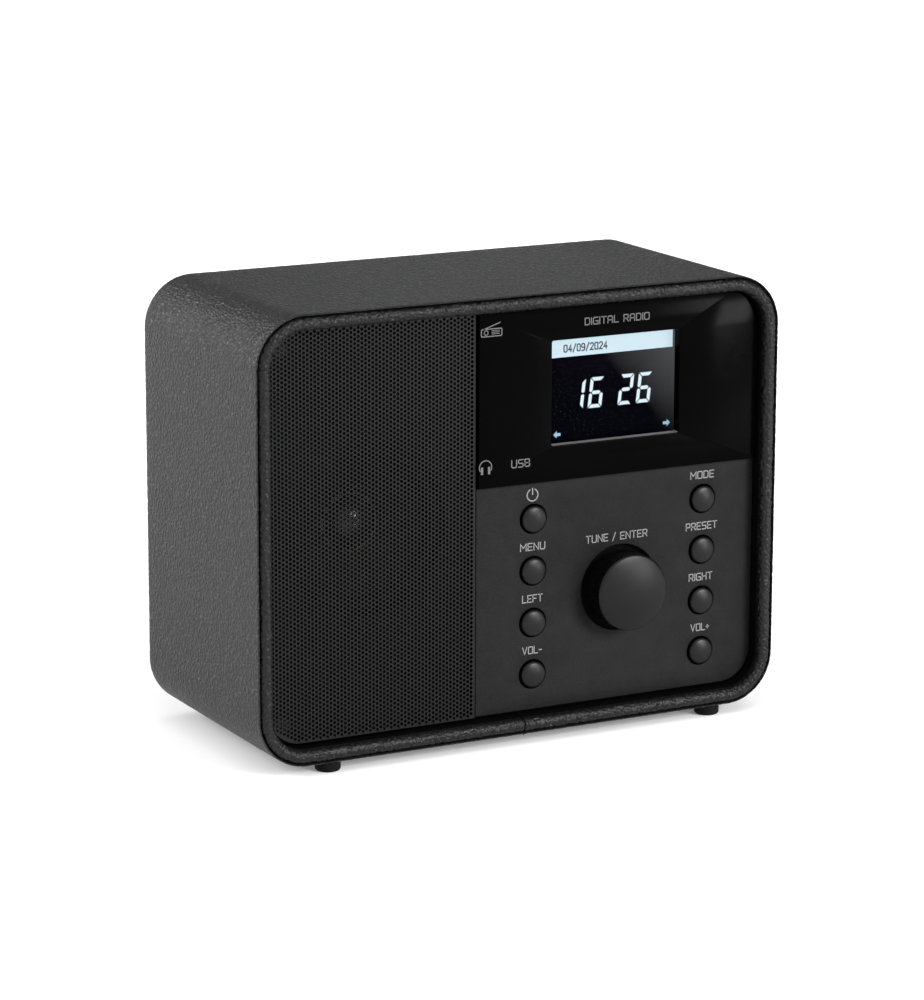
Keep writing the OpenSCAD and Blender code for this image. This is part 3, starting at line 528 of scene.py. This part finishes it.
def build_leather(material, bead_shaded_material, recess):
    profile = leather_profile()
    stations, total = outline_stations(0.42)
    mid_z = CAB_H / 2
    lip = 0.25       # extra rings just beside the seam keep its groove sharp
    stations.insert(1, (lip, -mid_z, 0, -1, lip))
    stations.append((-lip, -mid_z, 0, -1, total - lip))
    bm = bmesh.new()
    rings = []
    for x, z, nx, nz, run in stations:
        seam = min(run, total - run)
        groove = 1.2 * math.exp(-((seam / 0.24) ** 2)) - 0.12 * math.exp(-(((seam - 0.9) / 0.5) ** 2))
        ring = []
        for k, (u, d, weight) in enumerate(profile):
            before, after = profile[k - 1], profile[(k + 1) % len(profile)]
            tu, td = after[0] - before[0], after[1] - before[1]
            length = math.hypot(tu, td)
            out_u, out_d = td / length, -tu / length     # points away from the strip
            base = Vector((x - nx * u, d, z - nz * u))
            lift = weight * crease_depth(base) if weight else 0.0
            if weight:
                lift -= groove
            if u < 0.3:
                lift = min(0.0, lift - 0.01)
            px, pz = x - nx * (u + out_u * lift), z - nz * (u + out_u * lift)
            ring.append(bm.verts.new(at(px, d + out_d * lift, pz + mid_z)))
        rings.append(ring)
    count = len(profile)
    # The recess wall takes the near-black recess material, partly painted shade.
    inner = {k for k, p in enumerate(profile) if p[0] >= 5.0 and 3.4 <= p[1] <= 9.4}
    bead = {k for k, p in enumerate(profile) if p[2] == 1.0 or p[1] == 3.4}
    for a, b in zip(rings, rings[1:] + rings[:1]):
        for k in range(count):
            j = (k + 1) % count
            face = bm.faces.new((a[k], a[j], b[j], b[k]))
            face.material_index = 1 if (k in inner and j in inner) else 0
            # Bead faces take the darker bead leather: painted shade on the front rim.
            if k in bead and j in bead:
                face.material_index = 2
    finish_mesh("leather_cover_grained", bm, [material, recess, bead_shaded_material],
                stands_for=("leather_cover",), smooth=50.0)


# ---------------------------------------------------------------- front panels


def build_grille(material):
    left, _, bottom, top = PANEL_BOX
    outline = corner_loop([(GRILLE_RIGHT, top, 0.3), (left, top, PANEL_R), (left, bottom, PANEL_R),
                           (GRILLE_RIGHT, bottom, 0.3)], 12)
    outer, rim = outline(0.0), outline(0.35)
    pitch_x, pitch_z, hole_r, sides = 1.33, 1.53, 0.62, 8
    points = [Vector(p) for p in outer + rim]
    loops = [list(range(len(outer))), list(range(len(outer), len(points)))]
    column, x = 0, left + 0.4
    while x < GRILLE_RIGHT + hole_r:
        z = bottom + (0.2 if column % 2 else 0.2 + pitch_z / 2)
        while z < top + hole_r:
            if inside(outer, x, z, hole_r + 0.12):
                start = len(points)
                points += [Vector(p) for p in arc(x, z, hole_r, 22.5, 382.5, sides)[:-1]]
                loops.append(list(range(start, start + sides)))
            z += pitch_z
        x += pitch_x
        column += 1
    out, _, faces, _, _, owners = delaunay_2d_cdt(points, [], loops, 1, 1e-6, True)
    kept = [f for f, o in zip(faces, owners) if 0 in o and not (1 in o and any(k > 1 for k in o))]
    bm = bmesh.new()
    front = [bm.verts.new(at(p.x, GRILLE_D, p.y)) for p in out]
    back = [bm.verts.new(at(p.x, GRILLE_D + 0.7, p.y)) for p in out]
    edges = {}
    for f in kept:
        bm.faces.new([front[i] for i in f])
        bm.faces.new([back[i] for i in reversed(f)])
        for a, b in zip(f, f[1:] + f[:1]):
            key = (min(a, b), max(a, b))
            edges[key] = None if key in edges else (a, b)
    for pair in edges.values():
        if pair:
            a, b = pair
            bm.faces.new((front[b], front[a], back[a], back[b]))
    bmesh.ops.delete(bm, geom=[v for v in bm.verts if not v.link_faces], context="VERTS")
    add_plate(bm, [outline, hole_in(outline)], [(0.05, GRILLE_D + 0.55), (0.05, CHASSIS_D)])
    finish_mesh("speaker_grille_perforated", bm, [material], stands_for=("speaker_grille",),
                smooth=30.0)


def hole_in(outline):
    """The inner edge of a folded wall 0.8 mm thick behind an outline."""
    return lambda inset: outline(0.8 - inset)


def inside(polygon, x, z, margin):
    """True if the point lies inside the polygon, at least the margin away from its edges."""
    hit, best = False, 1e9
    for (ax, az), (bx, bz) in zip(polygon, polygon[1:] + polygon[:1]):
        if (az > z) != (bz > z) and x < (bx - ax) * (z - az) / (bz - az) + ax:
            hit = not hit
        dx, dz = bx - ax, bz - az
        t = max(0.0, min(1.0, ((x - ax) * dx + (z - az) * dz) / max(dx * dx + dz * dz, 1e-12)))
        best = min(best, math.hypot(x - ax - t * dx, z - az - t * dz))
    return hit and best > margin


def build_display_panel(material, sill_painted_highlight):
    _, right, _, top = PANEL_BOX
    cx, cz, w, h = DISPLAY
    outline = corner_loop([(right, top, PANEL_R), (PANEL_LEFT, top, 0.3), (PANEL_LEFT, SPLIT_Z, 0.3),
                           (right, SPLIT_Z, 0.3)], 14)
    floor_z = UNDER_Z + (cz - h / 2 + 0.3) * MM

    # The lower wall of the window opening takes the pale grey material: painted highlight in place of its
    # lit reflection.
    def side(loop_no, centre):
        return 1 if loop_no == 1 and centre.z < floor_z and centre.y > FRONT_Y + (GLOSS_D + 0.3) * MM else 0

    bm = bmesh.new()
    add_plate(bm, [outline, rect_hole(cx, cz, w, h, 0.7)], rounding(0.35, GLOSS_D, 8.0), 0, side)
    finish_mesh("display_panel_gloss", bm, [material, sill_painted_highlight], stands_for=("display_panel",),
                smooth=40.0)


def build_control_panel(material, recess):
    _, right, bottom, _ = PANEL_BOX
    outline = corner_loop([(right, SPLIT_Z - 0.2, 0.3), (PANEL_LEFT, SPLIT_Z - 0.2, 0.3),
                           (PANEL_LEFT, bottom, 0.3), (right, bottom, PANEL_R)], 14)
    holes = [circle_loop(x, z, 5.2, 48) for x in COLUMNS for z in ROWS]
    bm = bmesh.new()
    add_plate(bm, [outline, circle_loop(*KNOB, 15.2, 96)] + holes, rounding(0.3, MATTE_D, CHASSIS_D))
    # The knob's recess floor is near-black: painted shade.
    add_plate(bm, [lambda inset: arc(*KNOB, 15.5, 0, 360, 96)[:-1], circle_loop(*KNOB, 7.5, 48)],
              [(0.0, MATTE_D + 2.2), (0.0, CHASSIS_D - 0.1)], 1)
    finish_mesh("control_panel_matte", bm, [material, recess], stands_for=("control_panel",),
                smooth=40.0)


def build_screen(ground, clear):
    cx, cz, w, h = DISPLAY
    grow = 5.2
    bm = bmesh.new()
    add_plate(bm, [rect_outline(cx, cz, w + grow, h + grow, 0.5)], rounding(0.2, SCREEN_D, SCREEN_D + 2.0))
    finish_mesh("lcd_panel_lit", bm, [ground], stands_for=("lcd_panel",))
    bm = bmesh.new()
    add_plate(bm, [rect_outline(cx, cz, w + grow, h + grow, 0.5)], rounding(0.1, 8.02, 8.78))
    finish_mesh("display_lens_clear", bm, [clear], stands_for=("display_lens",))


def rect_outline(cx, cz, w, h, r):
    return corner_loop([(cx + w / 2, cz + h / 2, r), (cx - w / 2, cz + h / 2, r),
                        (cx - w / 2, cz - h / 2, r), (cx + w / 2, cz - h / 2, r)], 4)


# ---------------------------------------------------------------- buttons and knob


def domed(r, front, sphere, edge, steps=9):
    """Rings of a cap's face from its middle over a tangent rounded edge to its side."""
    turn = math.asin((r - edge) / (sphere - edge))
    rings = [(sphere * math.sin(turn * k / steps), front + sphere * (1 - math.cos(turn * k / steps)))
             for k in range(steps + 1)]
    centre_d = front + sphere - (sphere - edge) * math.cos(turn)
    for k in range(1, steps + 1):
        a = turn + (math.pi / 2 - turn) * k / steps
        rings.append((r - edge + edge * math.sin(a), centre_d - edge * math.cos(a)))
    return rings


def build_button(name, column, row, face, side):
    """Cap with its collar and the stem that reaches back to its switch."""
    r = 4.7
    face_rings = domed(r, MATTE_D - 2.0, 12.0, 1.2)
    body = [(r, 7.4), (r, 9.8), (5.9, 9.8), (5.9, 10.7), (1.9, 10.7), (1.9, 14.3), (1.5, 14.7), (0.0, 14.7)]
    profile = face_rings + body
    materials = [0] * (len(face_rings) - 4) + [1] * (len(profile) - len(face_rings) + 4)
    bm = bmesh.new()
    add_turned(bm, (COLUMNS[column], ROWS[row]), profile, 56, materials)
    finish_mesh(name + "_cap", bm, [face, side], name, (name,), 32.0)


def build_knob(face, side):
    """Hollow turned cap with a hub that takes the shaft."""
    back = MATTE_D - 0.8
    front = back - 10.4
    r = 13.5
    face_rings = domed(r, front, 50.0, 1.2)
    body = [(r, front + 5), (r, back - 0.3), (r - 0.3, back), (11.5, back), (11.5, front + 3.2),
            (5.5, front + 3.2), (5.5, back - 0.2), (5.3, back), (3.0, back), (3.0, front + 3.0),
            (0.0, front + 3.0)]
    profile = face_rings + body
    materials = [0] * (len(face_rings) - 4) + [1] * (len(profile) - len(face_rings) + 4)
    bm = bmesh.new()
    add_turned(bm, KNOB, profile, 160, materials)
    finish_mesh("tune_knob_cap", bm, [face, side], "knob", ("tune_knob",), 32.0)


# ---------------------------------------------------------------- printing


GLYPHS = {
    "A": (0.8, [[(0, 0), (0, .8), (.15, 1), (.65, 1), (.8, .8), (.8, 0)], [(0, .42), (.8, .42)]]),
    "D": (0.8, [[(0, 0), (0, 1), (.6, 1), (.8, .8), (.8, .2), (.6, 0), (0, 0)]]),
    "E": (0.72, [[(.72, 1), (0, 1), (0, 0), (.72, 0)], [(0, .5), (.62, .5)]]),
    "F": (0.72, [[(.72, 1), (0, 1), (0, 0)], [(0, .48), (.6, .48)]]),
    "G": (0.8, [[(.8, 1), (.15, 1), (0, .85), (0, .15), (.15, 0), (.8, 0), (.8, .48), (.42, .48)]]),
    "H": (0.8, [[(0, 0), (0, 1)], [(.8, 0), (.8, 1)], [(0, .5), (.8, .5)]]),
    "I": (0.0, [[(0, 0), (0, 1)]]),
    "L": (0.7, [[(0, 1), (0, 0), (.7, 0)]]),
    "M": (0.98, [[(0, 0), (0, 1), (.49, .38), (.98, 1), (.98, 0)]]),
    "N": (0.8, [[(0, 0), (0, 1), (.8, 0), (.8, 1)]]),
    "O": (0.82, [[(.1, 0), (0, .1), (0, .9), (.1, 1), (.72, 1), (.82, .9), (.82, .1), (.72, 0), (.1, 0)]]),
    "P": (0.76, [[(0, 0), (0, 1), (.64, 1), (.76, .88), (.76, .55), (.64, .43), (0, .43)]]),
    "R": (0.78, [[(0, 0), (0, 1), (.64, 1), (.76, .88), (.76, .57), (.64, .45), (0, .45)],
                 [(.45, .45), (.78, 0)]]),
    "S": (0.76, [[(.74, 1), (.12, 1), (0, .88), (0, .62), (.12, .5), (.64, .5), (.76, .38), (.76, .12),
                  (.64, 0), (.02, 0)]]),
    "T": (0.78, [[(0, 1), (.78, 1)], [(.39, 1), (.39, 0)]]),
    "U": (0.8, [[(0, 1), (0, .15), (.12, 0), (.68, 0), (.8, .15), (.8, 1)]]),
    "B": (0.78, [[(0, 0), (0, 1), (.62, 1), (.74, .88), (.74, .62), (.62, .5), (0, .5)],
                 [(.62, .5), (.78, .38), (.78, .12), (.66, 0), (0, 0)]]),
    "V": (0.86, [[(0, 1), (.43, 0), (.86, 1)]]),
    "-": (0.45, [[(0, .42), (.45, .42)]]),
    "+": (0.5, [[(0, .46), (.5, .46)], [(.25, .22), (.25, .7)]]),
    "/": (0.5, [[(0, -.08), (.5, 1.08)]]),
    " ": (0.35, []),
    "0": (0.6, [[(.1, 0), (0, .12), (0, .88), (.1, 1), (.5, 1), (.6, .88), (.6, .12), (.5, 0), (.1, 0)]]),
    "2": (0.6, [[(0, .85), (.12, 1), (.48, 1), (.6, .86), (.6, .65), (0, 0), (.6, 0)]]),
    "4": (0.6, [[(.45, 0), (.45, 1), (0, .3), (.6, .3)]]),
    "9": (0.6, [[(.05, 0), (.45, 0), (.6, .2), (.6, .85), (.48, 1), (.12, 1), (0, .85), (0, .58),
                 (.12, .45), (.6, .45)]]),
}


def text_strokes(text, width, height, spacing=0.32):
    """Polylines of a word centred on the origin, fitted to a width and a cap height."""
    advance, lines = 0.0, []
    for letter in text:
        glyph_w, strokes = GLYPHS[letter]
        lines += [[(advance + x, z) for x, z in stroke] for stroke in strokes]
        advance += glyph_w + spacing
    advance -= spacing
    return [[((x / advance - 0.5) * width, (z - 0.5) * height) for x, z in line] for line in lines]


def add_ribbon(bm, line, half, front, back):
    """Flat printed stroke of even width along a polyline, with mitred corners and square ends."""
    closed = math.dist(line[0], line[-1]) < 1e-6
    points = line[:-1] if closed else list(line)
    count = len(points)
    left, right = [], []
    for i, (x, z) in enumerate(points):
        prior = points[i - 1] if (i > 0 or closed) else None
        later = points[(i + 1) % count] if (i < count - 1 or closed) else None
        dirs = []
        if prior:
            dirs.append(Vector((x - prior[0], z - prior[1])).normalized())
        if later:
            dirs.append(Vector((later[0] - x, later[1] - z)).normalized())
        run = (dirs[0] + dirs[-1]).normalized()
        normal = Vector((-run.y, run.x))
        reach = half / max(0.45, normal.dot(Vector((-dirs[0].y, dirs[0].x))))
        shift = Vector((0, 0))
        if not prior:
            shift = -run * half
        if not later:
            shift = run * half
        left.append((x + shift.x + normal.x * reach, z + shift.y + normal.y * reach))
        right.append((x + shift.x - normal.x * reach, z + shift.y - normal.y * reach))
    rows = []
    for a, b in zip(left, right):
        rows.append([bm.verts.new(at(a[0], front, a[1])), bm.verts.new(at(b[0], front, b[1])),
                     bm.verts.new(at(b[0], back, b[1])), bm.verts.new(at(a[0], back, a[1]))])
    for a, b in zip(rows, rows[1:] + (rows[:1] if closed else [])):
        for k in range(4):
            j = (k + 1) % 4
            bm.faces.new((a[k], a[j], b[j], b[k]))
    if not closed:
        bm.faces.new(rows[0])
        bm.faces.new(list(reversed(rows[-1])))


def add_word(bm, text, cx, cz, width, height, half, front, back):
    for line in text_strokes(text, width, height):
        add_ribbon(bm, [(cx + x, cz + z) for x, z in line], half, front, back)


def build_printing(ink, dim_ink):
    """Function words and symbols printed on the two panels."""
    front, back, half = MATTE_D - 0.03, MATTE_D + 0.05, 0.17
    bm = bmesh.new()
    words = [("MENU", 0, 1, 9.5), ("LEFT", 0, 2, 7.7), ("VOL-", 0, 3, 7.4),
             ("MODE", 1, 0, 9.3), ("PRESET", 1, 1, 12.4), ("RIGHT", 1, 2, 9.3), ("VOL+", 1, 3, 7.2)]
    for text, column, row, width in words:
        add_word(bm, text, COLUMNS[column] - 0.2, ROWS[row] + 8.6, width, 2.4, half, front, back)
    add_word(bm, "TUNE / ENTER", 39.2, 64.5, 24.2, 2.4, half, front, back)
    cx, cz = COLUMNS[0] - 0.4, ROWS[0] + 8.5
    add_ribbon(bm, arc(cx, cz - 0.1, 2.1, 118, 422, 28), 0.2, front, back)
    add_ribbon(bm, [(cx, cz + 0.1), (cx, cz + 2.2)], 0.2, front, back)
    finish_mesh("control_labels", bm, [ink], smooth=0)

    front, back = GLOSS_D - 0.03, GLOSS_D + 0.05
    bm = bmesh.new()
    add_word(bm, "DIGITAL RADIO", 37.2, 141.3, 25.2, 2.3, 0.17, front, back)
    add_word(bm, "USB", 0.0, 94.6, 6.9, 2.5, 0.19, front, back)
    headphone_symbol(bm, -13.5, 94.4, front, back)
    radio_symbol(bm, -11.4, 141.2, front, back)
    finish_mesh("display_labels", bm, [dim_ink], smooth=0)


def headphone_symbol(bm, cx, cz, front, back):
    add_ribbon(bm, arc(cx, cz + 0.1, 2.35, -28, 208, 26), 0.17, front, back)
    for side in (-1, 1):
        add_ribbon(bm, [(cx + side * 1.35, cz - 1.9), (cx + side * 1.35, cz - 0.2)], 0.42, front, back)


def radio_symbol(bm, cx, cz, front, back):
    """A small table radio with a raised aerial."""
    body = [(-3.6, -1.9), (-3.9, -1.6), (-3.9, 0.3), (-3.6, 0.6), (3.6, 0.6), (3.9, 0.3), (3.9, -1.6),
            (3.6, -1.9), (-3.6, -1.9)]
    add_ribbon(bm, [(cx + x, cz + z) for x, z in body], 0.17, front, back)
    add_ribbon(bm, [(cx - 3.0, cz + 0.6), (cx + 3.2, cz + 2.6)], 0.17, front, back)
    add_ribbon(bm, arc(cx - 2.1, cz - 0.65, 0.75, 0, 360, 18), 0.14, front, back)
    for k in range(3):
        z = cz - 0.05 - 0.55 * k
        add_ribbon(bm, [(cx + 0.1, z), (cx + 3.0, z)], 0.11, front, back)


def add_prism(bm, polygon, front, back):
    a = [bm.verts.new(at(x, front, z)) for x, z in polygon]
    b = [bm.verts.new(at(x, back, z)) for x, z in polygon]
    bm.faces.new(a)
    bm.faces.new(list(reversed(b)))
    for i in range(len(a)):
        j = (i + 1) % len(a)
        bm.faces.new((a[j], a[i], b[i], b[j]))


SEGMENTS = {"1": "bc", "6": "acdefg", "2": "abged"}


def digit_segments(which, w, h, t, gap):
    """Seven-segment digit as mitred bars; lower-left corner at the origin."""
    bars = {
        "a": [(gap, h), (w - gap, h), (w - t - gap * .3, h - t), (t + gap * .3, h - t)],
        "d": [(t + gap * .3, t), (w - t - gap * .3, t), (w - gap, 0), (gap, 0)],
        "g": [(t * .55 + gap, h / 2), (t + gap, h / 2 + t * .5), (w - t - gap, h / 2 + t * .5),
              (w - t * .55 - gap, h / 2), (w - t - gap, h / 2 - t * .5), (t + gap, h / 2 - t * .5)],
        "f": [(0, h - gap), (t, h - t - gap), (t, h / 2 + t * .5 + gap * .4), (t * .5, h / 2 + gap * .6),
              (0, h / 2 + t * .5)],
        "e": [(0, gap), (0, h / 2 - t * .5), (t * .5, h / 2 - gap * .6), (t, h / 2 - t * .5 - gap * .4),
              (t, t + gap)],
    }
    bars["b"] = [(w - x, z) for x, z in reversed(bars["f"])]
    bars["c"] = [(w - x, z) for x, z in reversed(bars["e"])]
    return [bars[s] for s in SEGMENTS[which]]


def build_picture(bright, header, ink, arrows):
    """What the screen shows: a date bar, a clock and two arrows."""
    front, back = SCREEN_D - 0.04, SCREEN_D + 0.02
    bm = bmesh.new()
    add_prism(bm, [(12.2, 128.8), (61.9, 128.8), (61.9, 135.55), (12.2, 135.55)], SCREEN_D - 0.03, back)
    finish_mesh("screen_date_bar", bm, [header], smooth=0)
    bm = bmesh.new()
    add_word(bm, "04/09/2024", 27.3, 131.7, 16.8, 2.3, 0.24, SCREEN_D - 0.06, SCREEN_D - 0.02)
    finish_mesh("screen_date", bm, [ink], smooth=0)
    bm = bmesh.new()
    lean, low, high = 0.12, 110.2, 120.8
    for char, x0 in (("1", 21.0), ("6", 28.3), ("2", 40.1), ("6", 47.4)):
        for bar in digit_segments(char, 5.4, high - low, 1.22, 0.3):
            add_prism(bm, [(x0 + x + lean * z, low + z) for x, z in bar], front, back)
    finish_mesh("screen_clock", bm, [bright], smooth=0)
    bm = bmesh.new()
    for cx, cz, way in ((16.4, 102.1, -1), (59.9, 102.2, 1)):
        tip = [(1.4 * way, 0), (0.1 * way, 1.25), (0.1 * way, 0.5), (-1.4 * way, 0.5), (-1.4 * way, -0.5),
               (0.1 * way, -0.5), (0.1 * way, -1.25)]
        add_prism(bm, [(cx + x, cz + z) for x, z in tip], front, back)
    finish_mesh("screen_arrows", bm, [arrows], smooth=0)


# ---------------------------------------------------------------- CAD nodes that stay in view


def dress_nodes():
    """Materials for the CAD nodes that are shown as they are."""
    steel = brushed("plated_steel", (0.62, 0.62, 0.63), 0.3, 1)
    zinc = brushed("zinc_steel", (0.5, 0.5, 0.5), 0.38, 1)
    chrome = brushed("chrome_tube", (0.72, 0.72, 0.74), 0.12, 0)
    chassis = moulded("chassis_black", (0.0025, 0.0025, 0.0025), 0.6, 3.0, 0.02, specular=0.1)
    rubber = moulded("rubber_black", (0.003, 0.003, 0.003), 0.7, 4.0, 0.02, specular=0.1)
    natural = moulded("nylon_natural", (0.68, 0.65, 0.55), 0.45)
    board = moulded("board_green", (0.01, 0.1, 0.035), 0.35, 2.0, 0.01)
    groups = {
        chassis: ["front_chassis", "tact_switches", "amplifier_chip", "dc_inlet", "headphone_jack"],
        moulded("rear_black", (0.016, 0.016, 0.0165), 0.55, 1.6, 0.06): ["rear_panel"],
        moulded("turret_black", (0.014, 0.014, 0.014), 0.4, 3.0, 0.01): ["aerial_swivel"],
        moulded("screw_black", (0.02, 0.02, 0.02), 0.35, 3.0, 0.01, metallic=0.6):
            ["rear_screws", "chassis_screws"],
        rubber: ["rubber_feet", "speaker_surround", "speaker_gasket"],
        natural: ["board_posts", "encoder_rotor"],
        board: ["control_board", "main_board"],
        zinc: ["foot_screws", "board_screws", "speaker_screws", "top_plate", "pole_plate",
               "encoder_body"],
        steel: ["encoder_shaft", "encoder_nut", "usb_port", "tuner_module"],
        chrome: ["aerial_base"] + [f"aerial_section_{i}" for i in range(1, 6)],
        wood("fibreboard", (0.36, 0.25, 0.14), (0.47, 0.34, 0.2)): ["cabinet_shell"],
        wood("pine", (0.48, 0.34, 0.18), (0.6, 0.45, 0.26)): ["fixing_blocks"],
        moulded("tray_white", (0.7, 0.7, 0.68), 0.45): ["lcd_holder"],
        moulded("film_amber", (0.45, 0.2, 0.03), 0.3): ["display_ribbon"],
        moulded("cable_grey", (0.35, 0.35, 0.36), 0.5): ["control_ribbon"],
        moulded("sleeve_blue", (0.015, 0.02, 0.07), 0.3): ["board_capacitors"],
        moulded("basket_black", (0.006, 0.006, 0.006), 0.5, 3.0, 0.01, specular=0.15): ["speaker_basket"],
        moulded("cone_paper", (0.006, 0.006, 0.006), 0.7, 1.5, 0.06, specular=0.1): ["speaker_cone"],
        moulded("cap_gloss", (0.008, 0.008, 0.008), 0.22, 1.0, 0.004, specular=0.4): ["dust_cap"],
        moulded("coil_former", (0.05, 0.025, 0.012), 0.4): ["voice_coil"],
        moulded("spider_cloth", (0.45, 0.32, 0.1), 0.8, 1.2, 0.08): ["speaker_spider"],
        moulded("ferrite_grey", (0.04, 0.04, 0.042), 0.6): ["speaker_magnet"],
        moulded("wire_red", (0.35, 0.02, 0.02), 0.45): ["speaker_wires"],
    }
    for material, names in groups.items():
        for name in names:
            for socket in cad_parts[name].material_slots:
                socket.material = material


# ---------------------------------------------------------------- studio


def build_stage():
    n = Nodes("studio_floor")
    n.colour(n.mix_colour(n.spread(n.noise(0.004, 3.0), 0.3, 0.7), (0.88, 0.88, 0.88), (0.9, 0.9, 0.9)))
    n.set(Roughness=0.95, Specular_IOR_Level=0.1, Emission_Strength=0.16)
    n.set(Emission_Color=(1.0, 1.0, 1.0, 1.0))
    mesh = bpy.data.meshes.new("floor")
    size = 30.0
    corners = [(-size, -size, 0), (size, -size, 0), (size, size, 0), (-size, size, 0)]
    mesh.from_pydata(corners, [], [(0, 1, 2, 3)])
    mesh.materials.append(n.mat)
    floor = bpy.data.objects.new("floor", mesh)
    bpy.context.scene.collection.objects.link(floor)

    world = bpy.data.worlds.new("studio")
    bpy.context.scene.world = world
    world.use_nodes = True
    tree = world.node_tree
    sky = tree.nodes["Background"]
    coords = tree.nodes.new("ShaderNodeTexCoord")
    ramp = tree.nodes.new("ShaderNodeValToRGB")
    ramp.color_ramp.elements[0].position = 0.0
    ramp.color_ramp.elements[0].color = (0.06, 0.06, 0.06, 1)
    ramp.color_ramp.elements[1].position = 1.0
    ramp.color_ramp.elements[1].color = (1.0, 1.0, 1.0, 1)
    blend = tree.nodes.new("ShaderNodeVectorMath")
    blend.operation = "DOT_PRODUCT"
    blend.inputs[1].default_value = (-0.45, -0.15, 0.6)
    lift = tree.nodes.new("ShaderNodeMath")
    lift.inputs[1].default_value = 0.1
    tree.links.new(coords.outputs["Generated"], blend.inputs[0])
    tree.links.new(blend.outputs["Value"], lift.inputs[0])
    tree.links.new(lift.outputs["Value"], ramp.inputs["Fac"])
    tree.links.new(ramp.outputs["Color"], sky.inputs["Color"])
    sky.inputs["Strength"].default_value = 1.65

    add_sun("key_left", (-0.6, 0.75, 0.42), 2.0, 22.0)
    add_sun("key_front", (0.5, -0.95, 0.46), 3.3, 22.0)
    add_sun("key_top", (0.1, -0.5, 1.0), 0.3, 30.0)
    add_sun("key_back", (0.5, 0.9, 0.18), 0.045, 6.0)
    card = bpy.data.lights.new("low_card", "AREA")
    card.shape = "RECTANGLE"
    card.size, card.size_y = 0.13, 0.08
    card.energy = 0.75
    place_light("low_card", card, (0.0, -1.0, 0.0)).location = at(412.0, -452.0, 77.0)
    scene = bpy.context.scene
    scene.view_settings.view_transform = "Standard"
    scene.view_settings.look = "None"


def place_light(name, data, towards):
    """Light object whose back faces the given way, so that it shines the other way."""
    light = bpy.data.objects.new(name, data)
    light.rotation_mode = "QUATERNION"
    light.rotation_quaternion = Vector(towards).to_track_quat("Z", "Y")
    bpy.context.scene.collection.objects.link(light)
    return light


def add_sun(name, towards, strength, angle):
    """Broad soft light that comes from the given way; strength in W/m2, angle in degrees."""
    data = bpy.data.lights.new(name, "SUN")
    data.energy = strength
    data.angle = math.radians(angle)
    place_light(name, data, towards)


def build_camera():
    """Long lens, turned to the radio's front left corner and looking a little down on it."""
    yaw, pitch, roll = 0.48854, 0.22648, 0.00293
    distance = Vector((-0.61079, -1.14881, 0.2966))
    ahead = Vector((math.sin(yaw) * math.cos(pitch), math.cos(yaw) * math.cos(pitch), -math.sin(pitch)))
    right = Vector((math.cos(yaw), -math.sin(yaw), 0.0))
    up = right.cross(ahead)
    right, up = (math.cos(roll) * right + math.sin(roll) * up, math.cos(roll) * up - math.sin(roll) * right)
    centre = at(0.0, CAB_D / 2, CAB_H / 2)
    data = bpy.data.cameras.new("camera")
    data.lens = 137.61
    data.sensor_width = 36.0
    data.clip_start = 0.05
    camera = bpy.data.objects.new("camera", data)
    axes = Matrix((right, up, -ahead)).transposed()
    camera.matrix_world = Matrix.Translation(centre + distance) @ axes.to_4x4()
    bpy.context.scene.collection.objects.link(camera)
    bpy.context.scene.camera = camera


# ---------------------------------------------------------------- the radio


def build_radio():
    # Near-black for the recess walls and the knob's recess, partly painted shade.
    recess = recess_dark_with_shade()
    # The bead's leather is a darker copy of the cover's: painted shade on the front rim.
    bead = leather("leather_bead_painted_shade", (0.0012, 0.0012, 0.0012), (0.0045, 0.0045, 0.0048), 0.32, 0.12)
    cover = leather("leather_black", (0.005, 0.005, 0.0054), (0.0105, 0.0105, 0.011), 0.34, 0.4)
    build_leather(cover, bead, recess)
    build_grille(grille_paint())
    # Pale grey for the window's lower wall: painted highlight.
    sill_painted_highlight = moulded("window_edge_painted_highlight", (0.16, 0.16, 0.165), 0.4, 3.0, 0.004)
    build_display_panel(gloss_panel(), sill_painted_highlight)
    build_control_panel(matte_panel(), recess)
    build_screen(screen_dark(), window())
    # The caps' sides are darker and barely reflective: painted shade.
    face, side = satin_control("button_satin", (0.0042, 0.0042, 0.0045)), cap_side_shaded()
    names = ("button_power", "button_menu", "button_left", "button_vol_down",
             "button_mode", "button_preset", "button_right", "button_vol_up")
    for k, name in enumerate(names):
        build_button(name, k // 4, k % 4, face, side)
    build_knob(satin_control("knob_satin", (0.0014, 0.0014, 0.0015)), side)
    ink, dim_ink = print_ink("print_grey", (0.19, 0.19, 0.19)), print_ink("print_dim", (0.09, 0.09, 0.09))
    build_printing(ink, dim_ink)
    build_picture(lit("screen_white", (0.72, 0.85, 0.95), 0.95),
                  lit("screen_header", (0.62, 0.8, 0.9), 0.95),
                  moulded("screen_ink", (0.01, 0.015, 0.02), 0.5),
                  lit("screen_arrow", (0.35, 0.62, 0.85), 0.8))
    dress_nodes()


build_radio()
build_stage()
build_camera()
